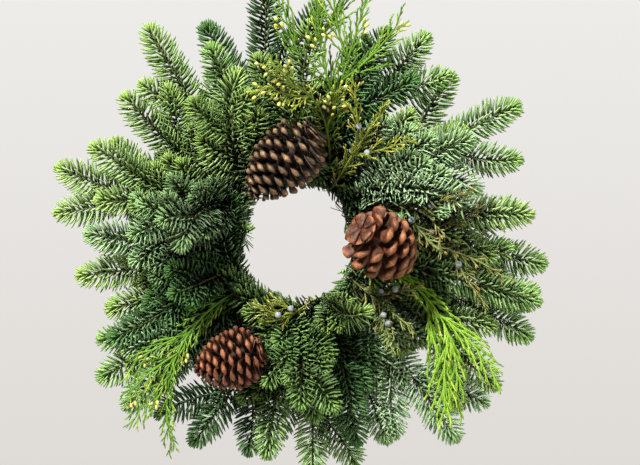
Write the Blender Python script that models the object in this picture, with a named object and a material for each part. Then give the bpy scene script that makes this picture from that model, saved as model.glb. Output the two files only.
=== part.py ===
"""A fresh Christmas wreath: fir, cedar and juniper cut into sprays and bound to a wire ring.

Every spray is one twig system: a stem that lies along the ring in a lane of its own, leaves
between two turns of the binding wire and carries its needles out to the tip. Three pine cones
stand in front, each on a wire pick that is wound round the ring. The origin is the point under
the top of the ring where a hook bears. X runs right, Z up, and the front faces -Y.
Lengths are millimetres, turned into metres where a mesh is made. Clock angles are degrees
clockwise from the top, seen from the front. Depths are measured forward from the ring.
"""

import cmath
import math
from collections import namedtuple

import bmesh
import bpy
import numpy as np
from mathutils import Matrix, Vector

METRES = 0.001

# Ring, binding wire and picks
RING_RADIUS = 76.0
RING_WIRE = 2.0
RING_SEGMENTS = 40
RING_SIDES = 6
STEM_RADIUS = 1.8
LANE_GAP = 0.5
BINDING_WIRE = 0.6
TURNS = 20
TURN_POINTS = 6
PICK_WIRE = 0.7
PICK_LOOP_POINTS = 8
PICK_LOOP_STEP = 2.4
PICK_LEAVES = 60.0
PICK_SEAT = 0.10
PICK_CLEARANCE = 0.35

LANE_RADIUS = RING_WIRE + STEM_RADIUS + LANE_GAP
BINDING_INSIDE = LANE_RADIUS + STEM_RADIUS + LANE_GAP
BINDING_RADIUS = (BINDING_INSIDE + BINDING_WIRE) / math.cos(math.pi / TURN_POINTS)
PICK_LOOP_RADIUS = (BINDING_RADIUS + BINDING_WIRE + LANE_GAP + PICK_WIRE) / math.cos(
    math.pi / PICK_LOOP_POINTS
)
PITCH = 360.0 / TURNS

FRONT = np.array([0.0, -1.0, 0.0])
RING_CENTRE = np.array([0.0, 0.0, -(RING_RADIUS - RING_WIRE)])

# Space that the foliage leaves free: the wall behind and the hole in the middle
WALL_DEPTH = -12.0
HOLE_HALF_SIDE = 46.0
CLEARANCE = 0.3
LEAF_CLEARANCE = 0.5

# Lanes round the ring's wire, as angles from outward towards the front
LANES = {"back": -40.0, "mid": 20.0, "front": 80.0, "inner": 140.0, "within": 200.0}
LEAVING_ARC = 5.0
LEAVING_REACH = 9.0
LONGEST_BUTT = 22.0
BUTT_POINTS = 5
BEND_SHARE = 0.6
BEND_RISE = 10.0
MAIN_SAMPLES = 40
SIDE_SAMPLES = 14
CORE_STEP = 8.0
BARE_STEP = 12.0
TIP_RADIUS = 1.1
SIDE_RADIUS = 1.5
SIDE_TIP_RADIUS = 1.0
BARE_LENGTH = 24.0
BARE_SHARE = 0.3
SIDE_BARE = 9.0
SIDE_HIDDEN = 4.0
SIDE_RISE = 3.5
HEADING_STEP = 6.0
SIDE_LENGTH = 1.53
SIDE_SHORTENING = 0.7
END_BAND = 1.5
END_BUD = 5.0
LEAF_FAN = 30.0
LEAF_TIP = 0.2
LEAF_LENGTHS = (1.0, 0.8, 0.6, 0.45)
LEAF_SWINGS = (0.0, 14.0, -14.0)
LEAF_DIPS = (0.0, -9.0, 9.0)
LEAST_ACROSS = 0.4
TIP_STARTS = 0.75
TIP_SHORTENING = 0.35
OUTER_SHARE = 0.4
OUTER_CLEARANCE = 0.2

# Leaf length, spacing of the whorls, length of the band that a whorl grows from, whether the spray
# is flat, leans of the two leaves on each side, where side twigs root, their angle and curl
Species = namedtuple(
    "Species", "leaf whorl band flat base_lean tip_lean side_roots side_angle side_curl roughness"
)
SPECIES = {
    "fir": Species(24.0, 37.0, 3.2, False, 70.0, 38.0, (0.44, 0.60), 48.0, 0.25, 0.55),
    "cedar": Species(28.0, 28.0, 3.4, True, 56.0, 34.0, (0.42, 0.56, 0.70), 38.0, 0.3, 0.5),
    "juniper": Species(12.0, 24.0, 3.0, False, 62.0, 36.0, (0.42, 0.62), 45.0, 0.2, 0.6),
}

COLOURS = {
    "lime": (0.27, 0.40, 0.06),
    "green": (0.07, 0.20, 0.04),
    "dark": (0.02, 0.07, 0.02),
    "blue": (0.14, 0.28, 0.16),
    "cedar": (0.33, 0.52, 0.05),
    "olive": (0.36, 0.38, 0.10),
}

# One row a spray: lane, station round the ring, tip (clock, radius, depth), control point or None,
# side twigs' length as a share of the free length, their side (1 clockwise, -1 counter, 0 both), colour
Spray = namedtuple("Spray", "name kind lane station tip via spread side colour")

CEDAR_SPRAYS = (
    ("front", 19, (5, 286, 55), None, 0.40, 0, "cedar"),
    ("front", 0, (16, 300, 62), None, 0.40, 0, "cedar"),
    ("mid", 1, (343, 178, 104), (12, 226, 92), 0.22, 0, "cedar"),
    ("front", 5, (135, 262, 80), (103, 205, 62), 0.42, 0, "cedar"),
    ("front", 12, (214, 280, 60), (242, 205, 92), 0.28, 1, "cedar"),
)
JUNIPER_SPRIGS = (
    ("inner", 8, (203, 101, 62), (184, 96, 64), 0.34, 1, "olive"),
    ("front", 3, (87, 166, 104), (66, 172, 84), 0.45, 0, "olive"),
    ("mid", 4, (100, 246, 80), (90, 196, 66), 0.38, 0, "olive"),
    ("inner", 6, (127, 168, 84), None, 0.42, 0, "olive"),
    ("inner", 1, (34, 190, 92), (30, 140, 96), 0.45, 0, "olive"),
)
FIR_SPRAYS = (
    ("front", 1, (73, 214, 72), (45, 168, 78), 0.32, 0, "blue"),
    ("front", 2, (84, 200, 92), (62, 165, 92), 0.28, 0, "blue"),
    ("front", 8, (132, 112, 84), (146, 112, 84), 0.0, 0, "lime"),
    ("front", 9, (176, 184, 84), None, 0.40, 0, "green"),
    ("front", 10, (187, 152, 70), None, 0.32, -1, "green"),
    ("front", 13, (247, 152, 82), None, 0.36, 0, "dark"),
    ("front", 15, (281, 180, 84), None, 0.38, 0, "blue"),
    ("front", 16, (267, 132, 96), (292, 136, 88), 0.28, 0, "blue"),
    ("front", 17, (340, 203, 80), (322, 160, 88), 0.34, 0, "lime"),
    ("inner", 17, (334, 120, 52), None, 0.0, 0, "blue"),
    ("within", 14, (284, 60, 36), None, 0.0, 0, "green"),
    ("inner", 2, (72, 62, 44), None, 0.0, 0, "dark"),
    ("inner", 5, (121, 66, 40), None, 0.0, 0, "green"),
    ("mid", 0, (23, 262, 50), None, 0.40, 1, "dark"),
    ("mid", 2, (56, 228, 60), None, 0.40, -1, "lime"),
    ("mid", 3, (83, 268, 55), None, 0.36, 1, "lime"),
    ("mid", 5, (104, 284, 48), None, 0.34, -1, "green"),
    ("mid", 8, (163, 239, 52), None, 0.36, 1, "dark"),
    ("mid", 10, (188, 246, 55), None, 0.40, -1, "green"),
    ("mid", 12, (226, 272, 48), None, 0.34, 1, "blue"),
    ("mid", 13, (242, 240, 48), None, 0.32, -1, "dark"),
    ("mid", 14, (272, 238, 58), None, 0.40, 1, "blue"),
    ("mid", 15, (295, 257, 55), None, 0.36, -1, "lime"),
    ("mid", 18, (336, 244, 50), None, 0.34, 1, "green"),
    ("mid", 19, (1, 250, 55), None, 0.42, -1, "lime"),
    ("back", 0, (32, 280, 25), None, 0.34, 0, "green"),
    ("back", 2, (58, 299, 28), None, 0.40, 0, "green"),
    ("back", 4, (95, 285, 25), None, 0.38, 0, "green"),
    ("back", 5, (112, 290, 20), None, 0.34, 0, "green"),
    ("back", 6, (126, 283, 22), None, 0.34, 0, "lime"),
    ("back", 7, (141, 292, 25), None, 0.36, 0, "blue"),
    ("back", 8, (153, 251, 25), None, 0.36, 0, "blue"),
    ("back", 9, (171, 264, 28), None, 0.40, 0, "green"),
    ("back", 10, (207, 260, 24), None, 0.42, 0, "dark"),
    ("back", 12, (235, 276, 24), None, 0.30, 0, "green"),
    ("back", 13, (250, 229, 25), None, 0.36, 0, "lime"),
    ("back", 14, (261, 253, 25), None, 0.32, 0, "lime"),
    ("back", 15, (287, 288, 25), None, 0.34, 0, "lime"),
    ("back", 16, (305, 260, 25), None, 0.36, 0, "lime"),
    ("back", 17, (325, 302, 25), None, 0.26, 0, "lime"),
    ("back", 18, (353, 302, 20), None, 0.42, 0, "dark"),
)

# Small changes tried in turn where a spray would touch one already placed: clock, depth
SHIFTS = tuple(
    (turn, rise)
    for rise in (0, 5, -5, 10, -10, 15, -15, 20, -20, 26, -26, 32)
    for turn in (0, 2.5, -2.5, 5, -5)
)

# Cones: centre (clock, radius, depth), axis from base to tip, length, width, clock where the
# pick's loop crosses a corner of the binding wire
Cone = namedtuple("Cone", "name centre axis length width loop_clock")
CONES = (
    Cone("pine_cone_1", (349, 92, 78), (-0.70, 0.14, -0.70), 118.0, 78.0, 342.0),
    Cone("pine_cone_2", (94, 102, 82), (0.58, 0.68, -0.45), 104.0, 80.0, 90.0),
    Cone("pine_cone_3", (210, 160, 74), (-0.95, 0.05, -0.30), 88.0, 72.0, 204.0),
)
CONE_ROWS = 9
CONE_COLUMNS = 8
CONE_CORE = 0.50
CONE_CORE_LENGTH = 0.84
SCALE_BASE_LEAN = -8.0
SCALE_TIP_LEAN = 52.0
SCALE_SPREAD = 1.55
SCALE_THINNING = 0.42
SCALE_POINT = 2.0
CONE_COLOUR = (0.20, 0.085, 0.035)
CONE_BALLS = 7

BERRY_RADIUS = 4.4
BERRY_POINT = 3
BERRY_SUNK = 0.6
BERRY_BRANCH = -1


def unit(vector):
    return vector / np.linalg.norm(vector)


def outward(clock):
    turn = math.radians(clock)
    return np.array([math.sin(turn), 0.0, math.cos(turn)])


def clockwise(clock):
    turn = math.radians(clock)
    return np.array([math.cos(turn), 0.0, -math.sin(turn)])


def lane_direction(clock, lane):
    turn = math.radians(lane)
    return outward(clock) * math.cos(turn) + FRONT * math.sin(turn)


def on_ring(clock, reach=0.0, lane=0.0):
    """A point at this reach from the centre line of the ring's wire."""
    return RING_CENTRE + outward(clock) * RING_RADIUS + lane_direction(clock, lane) * reach


def out_from_centre(clock, radius, depth):
    return RING_CENTRE + outward(clock) * radius + FRONT * depth


def arc_degrees(length):
    return math.degrees(length / RING_RADIUS)


def bezier(corners, count):
    t = np.linspace(0.0, 1.0, count)[:, None]
    if len(corners) == 3:
        weights = ((1 - t) ** 2, 2 * t * (1 - t), t**2)
    else:
        weights = ((1 - t) ** 3, 3 * t * (1 - t) ** 2, 3 * t**2 * (1 - t), t**3)
    return sum(weight * corner for weight, corner in zip(weights, corners))


# Routes of the stems

# hidden is the length that lies inside what the twig grows from, and edge is where its core's
# first corner points
Twig = namedtuple("Twig", "points bare root_radius tip_radius edge hidden")


def lane_clock(spray):
    """Where this spray leaves the ring, half way between two turns of the binding wire."""
    return (spray.station + LANES[spray.lane] / 360.0 + 0.5) * PITCH


def butt_length(spray, sprays):
    """As long as the lane is free behind the exit."""
    behind = [
        (lane_clock(spray) - lane_clock(other)) % 360.0
        for other in sprays
        if other.lane == spray.lane and other is not spray
    ]
    free = min(behind, default=360.0) * math.radians(RING_RADIUS) - 2 * LEAVING_ARC
    return min(LONGEST_BUTT, free)


def main_route(spray, butt, turn, rise):
    lane = LANES[spray.lane]
    leaving = lane_clock(spray) - arc_degrees(LEAVING_ARC)
    clocks = np.linspace(leaving - arc_degrees(butt), leaving, BUTT_POINTS)
    along_ring = [on_ring(clock, LANE_RADIUS, lane) for clock in clocks]
    start = along_ring[-1]
    away = clockwise(leaving) + lane_direction(leaving, lane)
    clock, radius, depth = spray.tip
    tip = out_from_centre(clock + turn, radius, depth + rise)
    if spray.via:
        clock, radius, depth = spray.via
        middle = out_from_centre(clock + turn / 2, radius, depth + rise)
    else:
        middle = start + BEND_SHARE * (tip - start) + FRONT * (BEND_RISE + rise / 2)
    free = bezier((start, start + away * LEAVING_REACH, middle, tip), MAIN_SAMPLES)
    return np.vstack([along_ring[:-1], free])


def lengths_along(points):
    return np.concatenate([[0.0], np.cumsum(np.linalg.norm(np.diff(points, axis=0), axis=1))])


def at_length(points, travelled, wanted):
    return np.array([np.interp(wanted, travelled, points[:, axis]) for axis in range(3)])


def side_route(points, share, side, length, rise, species):
    """A side twig that rises a little from the plane of its spray and curls back along it."""
    travelled = lengths_along(points)
    here = share * travelled[-1]
    root = at_length(points, travelled, here)
    heading = unit(at_length(points, travelled, here + HEADING_STEP) - root)
    across = unit(np.cross(heading, FRONT))
    lean = math.radians(species.side_angle)
    away = heading * math.cos(lean) + across * side * math.sin(lean)
    middle = root + away * length * 0.5 + FRONT * rise
    tip = root + away * length * (1 - species.side_curl) + heading * length * species.side_curl
    return bezier((root, middle, tip + FRONT * rise), SIDE_SAMPLES)


def single_side(spray):
    return spray.kind == "fir" and spray.side != 0


def ring_places(twig, species):
    """Where the three-sided core has its rings, and which of its bands carry needles."""
    whole = lengths_along(twig.points)[-1]
    bare_steps = max(1, round(twig.bare / BARE_STEP))
    places = list(np.linspace(0.0, twig.bare, bare_steps + 1))
    bands = [False] * bare_steps
    room = whole - twig.bare
    whorls = max(1, round(room / species.whorl))
    pitch = (room - species.band - END_BAND) / whorls
    for _ in range(whorls):
        places.append(places[-1] + species.band)
        bands.append(True)
        places.append(places[-1] + pitch - species.band)
        bands.append(False)
    places.append(places[-1] + species.band)
    bands.append(True)
    return places, bands


def twigs_of(spray, butt, turn=0.0, rise=0.0):
    species = SPECIES[spray.kind]
    points = main_route(spray, butt, turn, rise)
    whole = lengths_along(points)[-1]
    free = whole - butt
    bare = butt + min(BARE_LENGTH, BARE_SHARE * free)
    on_wire = -lane_direction(lane_clock(spray) - arc_degrees(butt), LANES[spray.lane])
    twigs = [Twig(points, bare, STEM_RADIUS, TIP_RADIUS, on_wire, 0.0)]
    if not spray.spread:
        return twigs
    places, bands = ring_places(twigs[0], species)
    whorls = [place + species.band / 2 for place, has_leaves in zip(places, bands) if has_leaves]
    for number, share in enumerate(species.side_roots[: 1 if single_side(spray) else None]):
        side = spray.side or (1 if (number + spray.station) % 2 else -1)
        length = free * spray.spread * (SIDE_LENGTH - SIDE_SHORTENING * share)
        fork = min(whorls, key=lambda whorl: abs(whorl - butt - share * free))
        if len(whorls) > 1:
            whorls.remove(fork)
        route = side_route(points, fork / whole, side, length, SIDE_RISE * number, species)
        twigs.append(Twig(route, SIDE_BARE, SIDE_RADIUS, SIDE_TIP_RADIUS, FRONT, SIDE_HIDDEN))
    return twigs


def berry_places(spray, twigs):
    """In front of each side twig of a juniper, sunk into its root."""
    if spray.kind != "juniper":
        return []
    return [twig.points[BERRY_POINT] + FRONT * BERRY_RADIUS * BERRY_SUNK for twig in twigs[1:]]


# Clearances between what is placed

Placed = namedtuple("Placed", "starts ends start_radii end_radii owners branches")


def segments_of(twig, step=CORE_STEP):
    travelled = lengths_along(twig.points)
    count = max(2, int(travelled[-1] / step) + 1)
    wanted = np.linspace(twig.hidden, travelled[-1], count)
    points = np.array([at_length(twig.points, travelled, s) for s in wanted])
    radii = np.linspace(twig.root_radius, twig.tip_radius, count)
    return points[:-1], points[1:], radii[:-1], radii[1:]


class Space:
    """The rods placed so far, each with a radius at either end, its owner and its branch there."""

    def __init__(self):
        self.rows = []
        self.table = None

    def add(self, starts, ends, start_radii, end_radii, owner, branch=0):
        for row in zip(starts, ends, start_radii, end_radii):
            self.rows.append((*row, owner, branch))
        self.table = None

    def placed(self):
        if self.table is None:
            columns = list(zip(*self.rows))
            self.table = Placed(*(np.array(column) for column in columns))
        return self.table

    def least_gap(self, start, end, start_radius, end_radius, owner, branch=None):
        """The least free distance from a tapered rod to what isn't the owner's, or its own branch."""
        near = self.placed()
        along = end - start
        others = near.ends - near.starts
        between = start - near.starts
        a = float(along @ along)
        e = np.maximum((others * others).sum(axis=1), 1e-9)
        f = (others * between).sum(axis=1)
        b = others @ along
        c = between @ along
        spread = a * e - b * b
        s = np.clip(np.where(spread > 1e-9, (b * f - c * e) / np.maximum(spread, 1e-9), 0), 0, 1)
        t = np.clip((b * s + f) / e, 0.0, 1.0)
        s = np.clip((b * t - c) / a, 0.0, 1.0)
        apart = np.linalg.norm(between + s[:, None] * along - t[:, None] * others, axis=1)
        own = start_radius + (end_radius - start_radius) * s
        theirs = near.start_radii + (near.end_radii - near.start_radii) * t
        mine = near.owners == owner
        if branch is not None:
            mine &= near.branches == branch
        return float(np.where(mine, 1e6, apart - own - theirs).min())


def out_of_bounds(start, end):
    """True where a rod would reach into the wall or into the hole's box."""
    steps = np.linspace(0.0, 1.0, 7)[:, None]
    points = start + steps * (end - start) - RING_CENTRE
    if (points @ FRONT).min() < WALL_DEPTH:
        return True
    inside = (abs(points[:, 0]) < HOLE_HALF_SIDE) & (abs(points[:, 2]) < HOLE_HALF_SIDE)
    return bool(inside.any())


def is_free(twigs, space, owner):
    for twig in twigs:
        for start, end, start_radius, end_radius in zip(*segments_of(twig)):
            if space.least_gap(start, end, start_radius, end_radius, owner) < CLEARANCE:
                return False
            if out_of_bounds(start, end):
                return False
    return True


def settle(spray, sprays, space):
    """The spray's twigs at the first small shift that keeps them off everything else."""
    butt = butt_length(spray, sprays)
    for turn, rise in SHIFTS:
        twigs = twigs_of(spray, butt, turn, rise)
        if is_free(twigs, space, spray.name):
            for branch, twig in enumerate(twigs):
                space.add(*segments_of(twig), spray.name, branch)
            for place in berry_places(spray, twigs):
                girth = [BERRY_RADIUS]
                space.add([place], [place + FRONT * 0.1], girth, girth, spray.name, BERRY_BRANCH)
            return twigs
    raise RuntimeError(f"no free place for {spray.name}")


# Meshes

def new_object(name, bm, collection):
    bmesh.ops.recalc_face_normals(bm, faces=bm.faces)
    mesh = bpy.data.meshes.new(name)
    bm.to_mesh(mesh)
    bm.free()
    obj = bpy.data.objects.new(name, mesh)
    collection.objects.link(obj)
    return obj


def material(name, colour, roughness, metallic=0.0):
    made = bpy.data.materials.get(name) or bpy.data.materials.new(name)
    made.use_nodes = True
    shader = made.node_tree.nodes["Principled BSDF"]
    shader.inputs["Base Color"].default_value = (*colour, 1.0)
    shader.inputs["Roughness"].default_value = roughness
    shader.inputs["Metallic"].default_value = metallic
    return made


def joined(name, pieces, collection):
    """One solid from overlapping pieces: the first takes the union of the rest."""
    whole = pieces[0]
    whole.name = name
    if len(pieces) > 1:
        rest = bpy.data.collections.new(name + "_repeats")
        bpy.context.scene.collection.children.link(rest)
        for piece in pieces[1:]:
            for holder in piece.users_collection:
                holder.objects.unlink(piece)
            rest.objects.link(piece)
        union = whole.modifiers.new("Union", "BOOLEAN")
        union.operation = "UNION"
        union.operand_type = "COLLECTION"
        union.solver = "EXACT"
        union.collection = rest
        bpy.context.view_layer.update()
        graph = bpy.context.evaluated_depsgraph_get()
        mesh = bpy.data.meshes.new_from_object(whole.evaluated_get(graph))
        whole.modifiers.clear()
        whole.data = mesh
        for piece in pieces[1:]:
            bpy.data.objects.remove(piece)
        bpy.data.collections.remove(rest)
    whole.data.name = name
    return whole


def carried_frames(points, edge):
    """Two directions square to the twig at each ring, carried from its first edge without twist."""
    headings = np.gradient(points, axis=0)
    headings = np.array([unit(heading) for heading in headings])
    sides = [unit(edge - (edge @ headings[0]) * headings[0])]
    for heading in headings[1:]:
        carried = sides[-1] - (sides[-1] @ heading) * heading
        sides.append(unit(carried))
    return headings, np.array(sides), np.cross(headings, np.array(sides))


def leaf_direction(around, side, cross):
    spin = math.radians(around)
    return side * math.cos(spin) + cross * math.sin(spin)


def leaf_choices(azimuth, lean, length, flat):
    """The needle as it would grow, then bent aside, then shorter."""
    for share in LEAF_LENGTHS:
        for swing in LEAF_SWINGS[: 1 if flat else None]:
            for dip in LEAF_DIPS:
                yield azimuth + swing, lean + dip, length * share


Core = namedtuple("Core", "twig places headings sides crosses radii buds")
Bud = namedtuple("Bud", "face number middle fan lean")


def grow_core(bm, twig, species, socket=None):
    """A slim three-sided core, which starts at a cap or at a face of the core it grows out of."""
    travelled = lengths_along(twig.points)
    places, bands = ring_places(twig, species)
    centres = np.array([at_length(twig.points, travelled, place) for place in places])
    headings, sides, crosses = carried_frames(centres, twig.edge)
    radii = np.interp(places, [0.0, travelled[-1]], [twig.root_radius, twig.tip_radius])
    turn = 0.0
    rings = []
    if socket:
        turn = socket_turn(socket, sides[1], crosses[1])
        rings.append(list(socket.verts))
        bm.faces.remove(socket)
    buds = []
    for number, centre in enumerate(centres):
        if number == len(rings):
            spokes = (
                leaf_direction(120.0 * corner + turn, sides[number], crosses[number])
                for corner in range(3)
            )
            rings.append([bm.verts.new(centre + spoke * radii[number]) for spoke in spokes])
        if number:
            buds += core_band(bm, rings[-2], rings[-1], number - 1, middle, species, bands[number - 1])
        middle = turn + 60.0
        if number < len(bands) and not bands[number] and places[number] > twig.bare:
            turn += 0.0 if species.flat else 60.0
    if not socket:
        bm.faces.new(rings[0])
    cap = bm.faces.new(rings[-1])
    end = bmesh.ops.poke(bm, faces=[cap])["verts"][0]
    end.co = Vector(centres[-1] + headings[-1] * END_BUD)
    return Core(twig, places, headings, sides, crosses, radii, buds)


def socket_turn(socket, side, cross):
    """The turn of a three-cornered ring that fits this face best, corner for corner."""
    corners = [np.array(vert.co) for vert in socket.verts]
    spokes = [corner - sum(corners) / 3 for corner in corners]
    spins = [complex(spoke @ side, spoke @ cross) for spoke in spokes]
    fit = sum(spin * cmath.exp(-2j * math.pi * number / 3) for number, spin in enumerate(spins))
    return math.degrees(cmath.phase(fit))


def core_band(bm, low, high, number, middle, species, has_leaves):
    """The six triangles between two rings, as buds where leaves grow from them."""
    buds = []
    for corner in range(3):
        after = (corner + 1) % 3
        base = bm.faces.new((low[corner], low[after], high[corner]))
        tip = bm.faces.new((low[after], high[after], high[corner]))
        if has_leaves:
            off = middle + 120.0 * corner
            buds.append(Bud(base, number, off, -LEAF_FAN, species.base_lean))
            buds.append(Bud(tip, number, off, LEAF_FAN, species.tip_lean))
    return buds


def take_socket(core, twig):
    """The face nearest the twig's root that looks most the way it leaves."""
    travelled = lengths_along(core.twig.points)
    away = unit(twig.points[1] - twig.points[0])

    def fit(bud):
        here = at_length(core.twig.points, travelled, core.places[bud.number])
        off = leaf_direction(bud.middle, core.sides[bud.number], core.crosses[bud.number])
        return off @ away - np.linalg.norm(here - twig.points[0])

    best = max(core.buds, key=fit)
    core.buds.remove(best)
    return best.face


def draw_needles(bm, core, species, space, owner, branch):
    """Each bud's face drawn out to a needle's tip, clear of everything placed so far."""
    own = Space()
    own.add(*segments_of(core.twig), owner=None)
    whole = core.places[-1]
    for face, number, middle, fan, lean in core.buds:
        heading, side, cross = core.headings[number], core.sides[number], core.crosses[number]
        if species.flat:
            off = leaf_direction(middle, side, cross)
            across = unit(np.cross(heading, FRONT))
            if abs(off @ across) < LEAST_ACROSS:
                continue
            middle = math.degrees(math.atan2(across @ cross, across @ side))
            middle += 0.0 if off @ across > 0 else 180.0
            fan = 0.0
        root = np.array(face.calc_center_median())
        near_tip = max(0.0, core.places[number] / whole - TIP_STARTS) / (1.0 - TIP_STARTS)
        grown = species.leaf * (1.0 - TIP_SHORTENING * near_tip)
        width = core.radii[number]
        for around, tilt, length in leaf_choices(middle + fan, lean, grown, species.flat):
            off = leaf_direction(around, side, cross)
            tilted = math.radians(tilt)
            leaf = heading * math.cos(tilted) + off * math.sin(tilted)
            end = root + leaf * length
            if out_of_bounds(root, end):
                continue
            if space.least_gap(root, end, width, LEAF_TIP, owner, branch) < LEAF_CLEARANCE:
                continue
            outer = root + leaf * length * OUTER_SHARE
            girth = width * (1 - OUTER_SHARE)
            if own.least_gap(outer, end, girth, LEAF_TIP, owner) < OUTER_CLEARANCE:
                continue
            poked = bmesh.ops.poke(bm, faces=[face])["verts"][0]
            poked.co = Vector(end)
            space.add([root], [end], [width], [LEAF_TIP], owner, branch)
            own.add([outer], [end], [girth], [LEAF_TIP], owner=None)
            break


def spray_solid(spray, twigs, space, collection):
    """One closed surface: side twigs grow out of the main one, and needles out of them all."""
    species = SPECIES[spray.kind]
    bm = bmesh.new()
    main_core = grow_core(bm, twigs[0], species)
    cores = [main_core]
    for twig in twigs[1:]:
        cores.append(grow_core(bm, twig, species, take_socket(main_core, twig)))
    for branch, core in enumerate(cores):
        draw_needles(bm, core, species, space, spray.name, branch)
    bmesh.ops.scale(bm, vec=(METRES,) * 3, verts=bm.verts)
    pieces = [new_object(spray.name, bm, collection)]
    for place in berry_places(spray, twigs):
        bm = bmesh.new()
        bmesh.ops.create_icosphere(bm, subdivisions=1, radius=BERRY_RADIUS * METRES)
        shift = Matrix.Translation(Vector(place * METRES))
        bmesh.ops.transform(bm, matrix=shift, verts=bm.verts)
        pieces.append(new_object(spray.name + "_berry", bm, collection))
    whole = joined(spray.name, pieces, collection)
    whole.data.materials.clear()
    look = material(f"{spray.kind}_{spray.colour}", COLOURS[spray.colour], species.roughness)
    whole.data.materials.append(look)
    return whole


def wire_object(name, points, radius, collection):
    curve = bpy.data.curves.new(name, "CURVE")
    curve.dimensions = "3D"
    curve.bevel_depth = radius * METRES
    curve.bevel_resolution = 0
    curve.use_fill_caps = True
    spline = curve.splines.new("POLY")
    spline.points.add(len(points) - 1)
    for place, point in zip(spline.points, points):
        place.co = (*(np.array(point) * METRES), 1.0)
    obj = bpy.data.objects.new(name, curve)
    collection.objects.link(obj)
    return obj


def binding_points():
    """A helix round the ring and its stems, open where it starts and ends."""
    steps = TURNS * TURN_POINTS
    return [
        on_ring(PITCH * step / TURN_POINTS, BINDING_RADIUS, 360.0 * step / TURN_POINTS)
        for step in range(steps)
    ]


def cone_frame(cone):
    axis = unit(np.array(cone.axis))
    side = unit(np.cross(axis, FRONT))
    return out_from_centre(*cone.centre), axis, side, np.cross(axis, side)


def cone_girth(share):
    """Half width at this share of the length from the base, as a share of the greatest."""
    if share < 0.38:
        return 0.80 + 0.20 * math.sin(share / 0.38 * math.pi / 2)
    return max(0.20, math.cos((share - 0.38) / 0.62 * math.pi / 2) ** 0.62)


def pick_points(cone):
    """A loop round the bound ring that crosses a corner of the binding wire, then into the cone."""
    corner = 360.0 / PICK_LOOP_POINTS
    crossing_lane = 360.0 * cone.loop_clock / PITCH
    corners_on = round((PICK_LEAVES - crossing_lane) / corner - 0.5)
    crossing_step = -corners_on % PICK_LOOP_POINTS - 0.5
    loop = []
    for step in range(PICK_LOOP_POINTS + 1):
        lane = crossing_lane + corner * (corners_on + 0.5 + step)
        ahead = PICK_LOOP_STEP * (step - crossing_step) / PICK_LOOP_POINTS
        loop.append(on_ring(cone.loop_clock + arc_degrees(ahead), PICK_LOOP_RADIUS, lane))
    centre, axis, _, _ = cone_frame(cone)
    return loop + [centre - axis * cone.length * PICK_SEAT]


def cone_lattice(cone):
    """A slim core whose surface is cut into rows of diamonds, each row half a step round."""
    bm = bmesh.new()
    rings = []
    for row in range(CONE_ROWS + 1):
        share = row / CONE_ROWS
        reach = cone.width / 2 * CONE_CORE * cone_girth(share)
        height = cone.length * CONE_CORE_LENGTH * (share - 0.5)
        ring = []
        for column in range(CONE_COLUMNS):
            angle = 2 * math.pi * (column + 0.5 * (row % 2)) / CONE_COLUMNS
            ring.append(bm.verts.new((reach * math.cos(angle), reach * math.sin(angle), height)))
        rings.append(ring)
    diamonds = []
    for row in range(1, CONE_ROWS):
        for column in range(CONE_COLUMNS):
            left = rings[row][column]
            right = rings[row][(column + 1) % CONE_COLUMNS]
            between = (column + row % 2) % CONE_COLUMNS
            lower, upper = rings[row - 1][between], rings[row + 1][between]
            diamonds.append(bm.faces.new((lower, right, upper, left)))
    for row, inner in ((0, 1), (CONE_ROWS, CONE_ROWS - 1)):
        for column in range(CONE_COLUMNS):
            left = rings[row][column]
            right = rings[row][(column + 1) % CONE_COLUMNS]
            tip = rings[inner][(column + row % 2) % CONE_COLUMNS]
            bm.faces.new((left, right, tip))
        bm.faces.new(rings[row])
    return bm, diamonds


def cone_solid(cone, collection):
    """Scales drawn out of the diamonds, leaning more towards the tip the nearer they are to it."""
    bm, diamonds = cone_lattice(cone)
    bmesh.ops.recalc_face_normals(bm, faces=bm.faces)
    raised = bmesh.ops.extrude_discrete_faces(bm, faces=diamonds)["faces"]
    for face in raised:
        middle = face.calc_center_median()
        share = middle.z / (cone.length * CONE_CORE_LENGTH) + 0.5
        lean = math.radians(SCALE_BASE_LEAN + (SCALE_TIP_LEAN - SCALE_BASE_LEAN) * share)
        out = Vector((middle.x, middle.y, 0.0)).normalized()
        reach = cone.width / 2 * cone_girth(share) - out.dot(middle)
        shift = out * reach + Vector((0.0, 0.0, reach * math.tan(lean)))
        for vert in face.verts:
            spread = (vert.co - middle) * SCALE_SPREAD
            spread.z *= SCALE_THINNING
            vert.co = middle + shift + spread
        point = bmesh.ops.poke(bm, faces=[face])["verts"][0]
        point.co += (out + Vector((0.0, 0.0, 0.5))) * SCALE_POINT
    centre, axis, side, cross = cone_frame(cone)
    turn = Matrix((side, cross, axis)).transposed().to_4x4()
    place = Matrix.Scale(METRES, 4) @ Matrix.Translation(Vector(centre)) @ turn
    bmesh.ops.transform(bm, matrix=place, verts=bm.verts)
    cone_object = new_object(cone.name, bm, collection)
    cone_object.data.materials.append(material("cone_scales", CONE_COLOUR, 0.6))
    return cone_object


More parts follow.
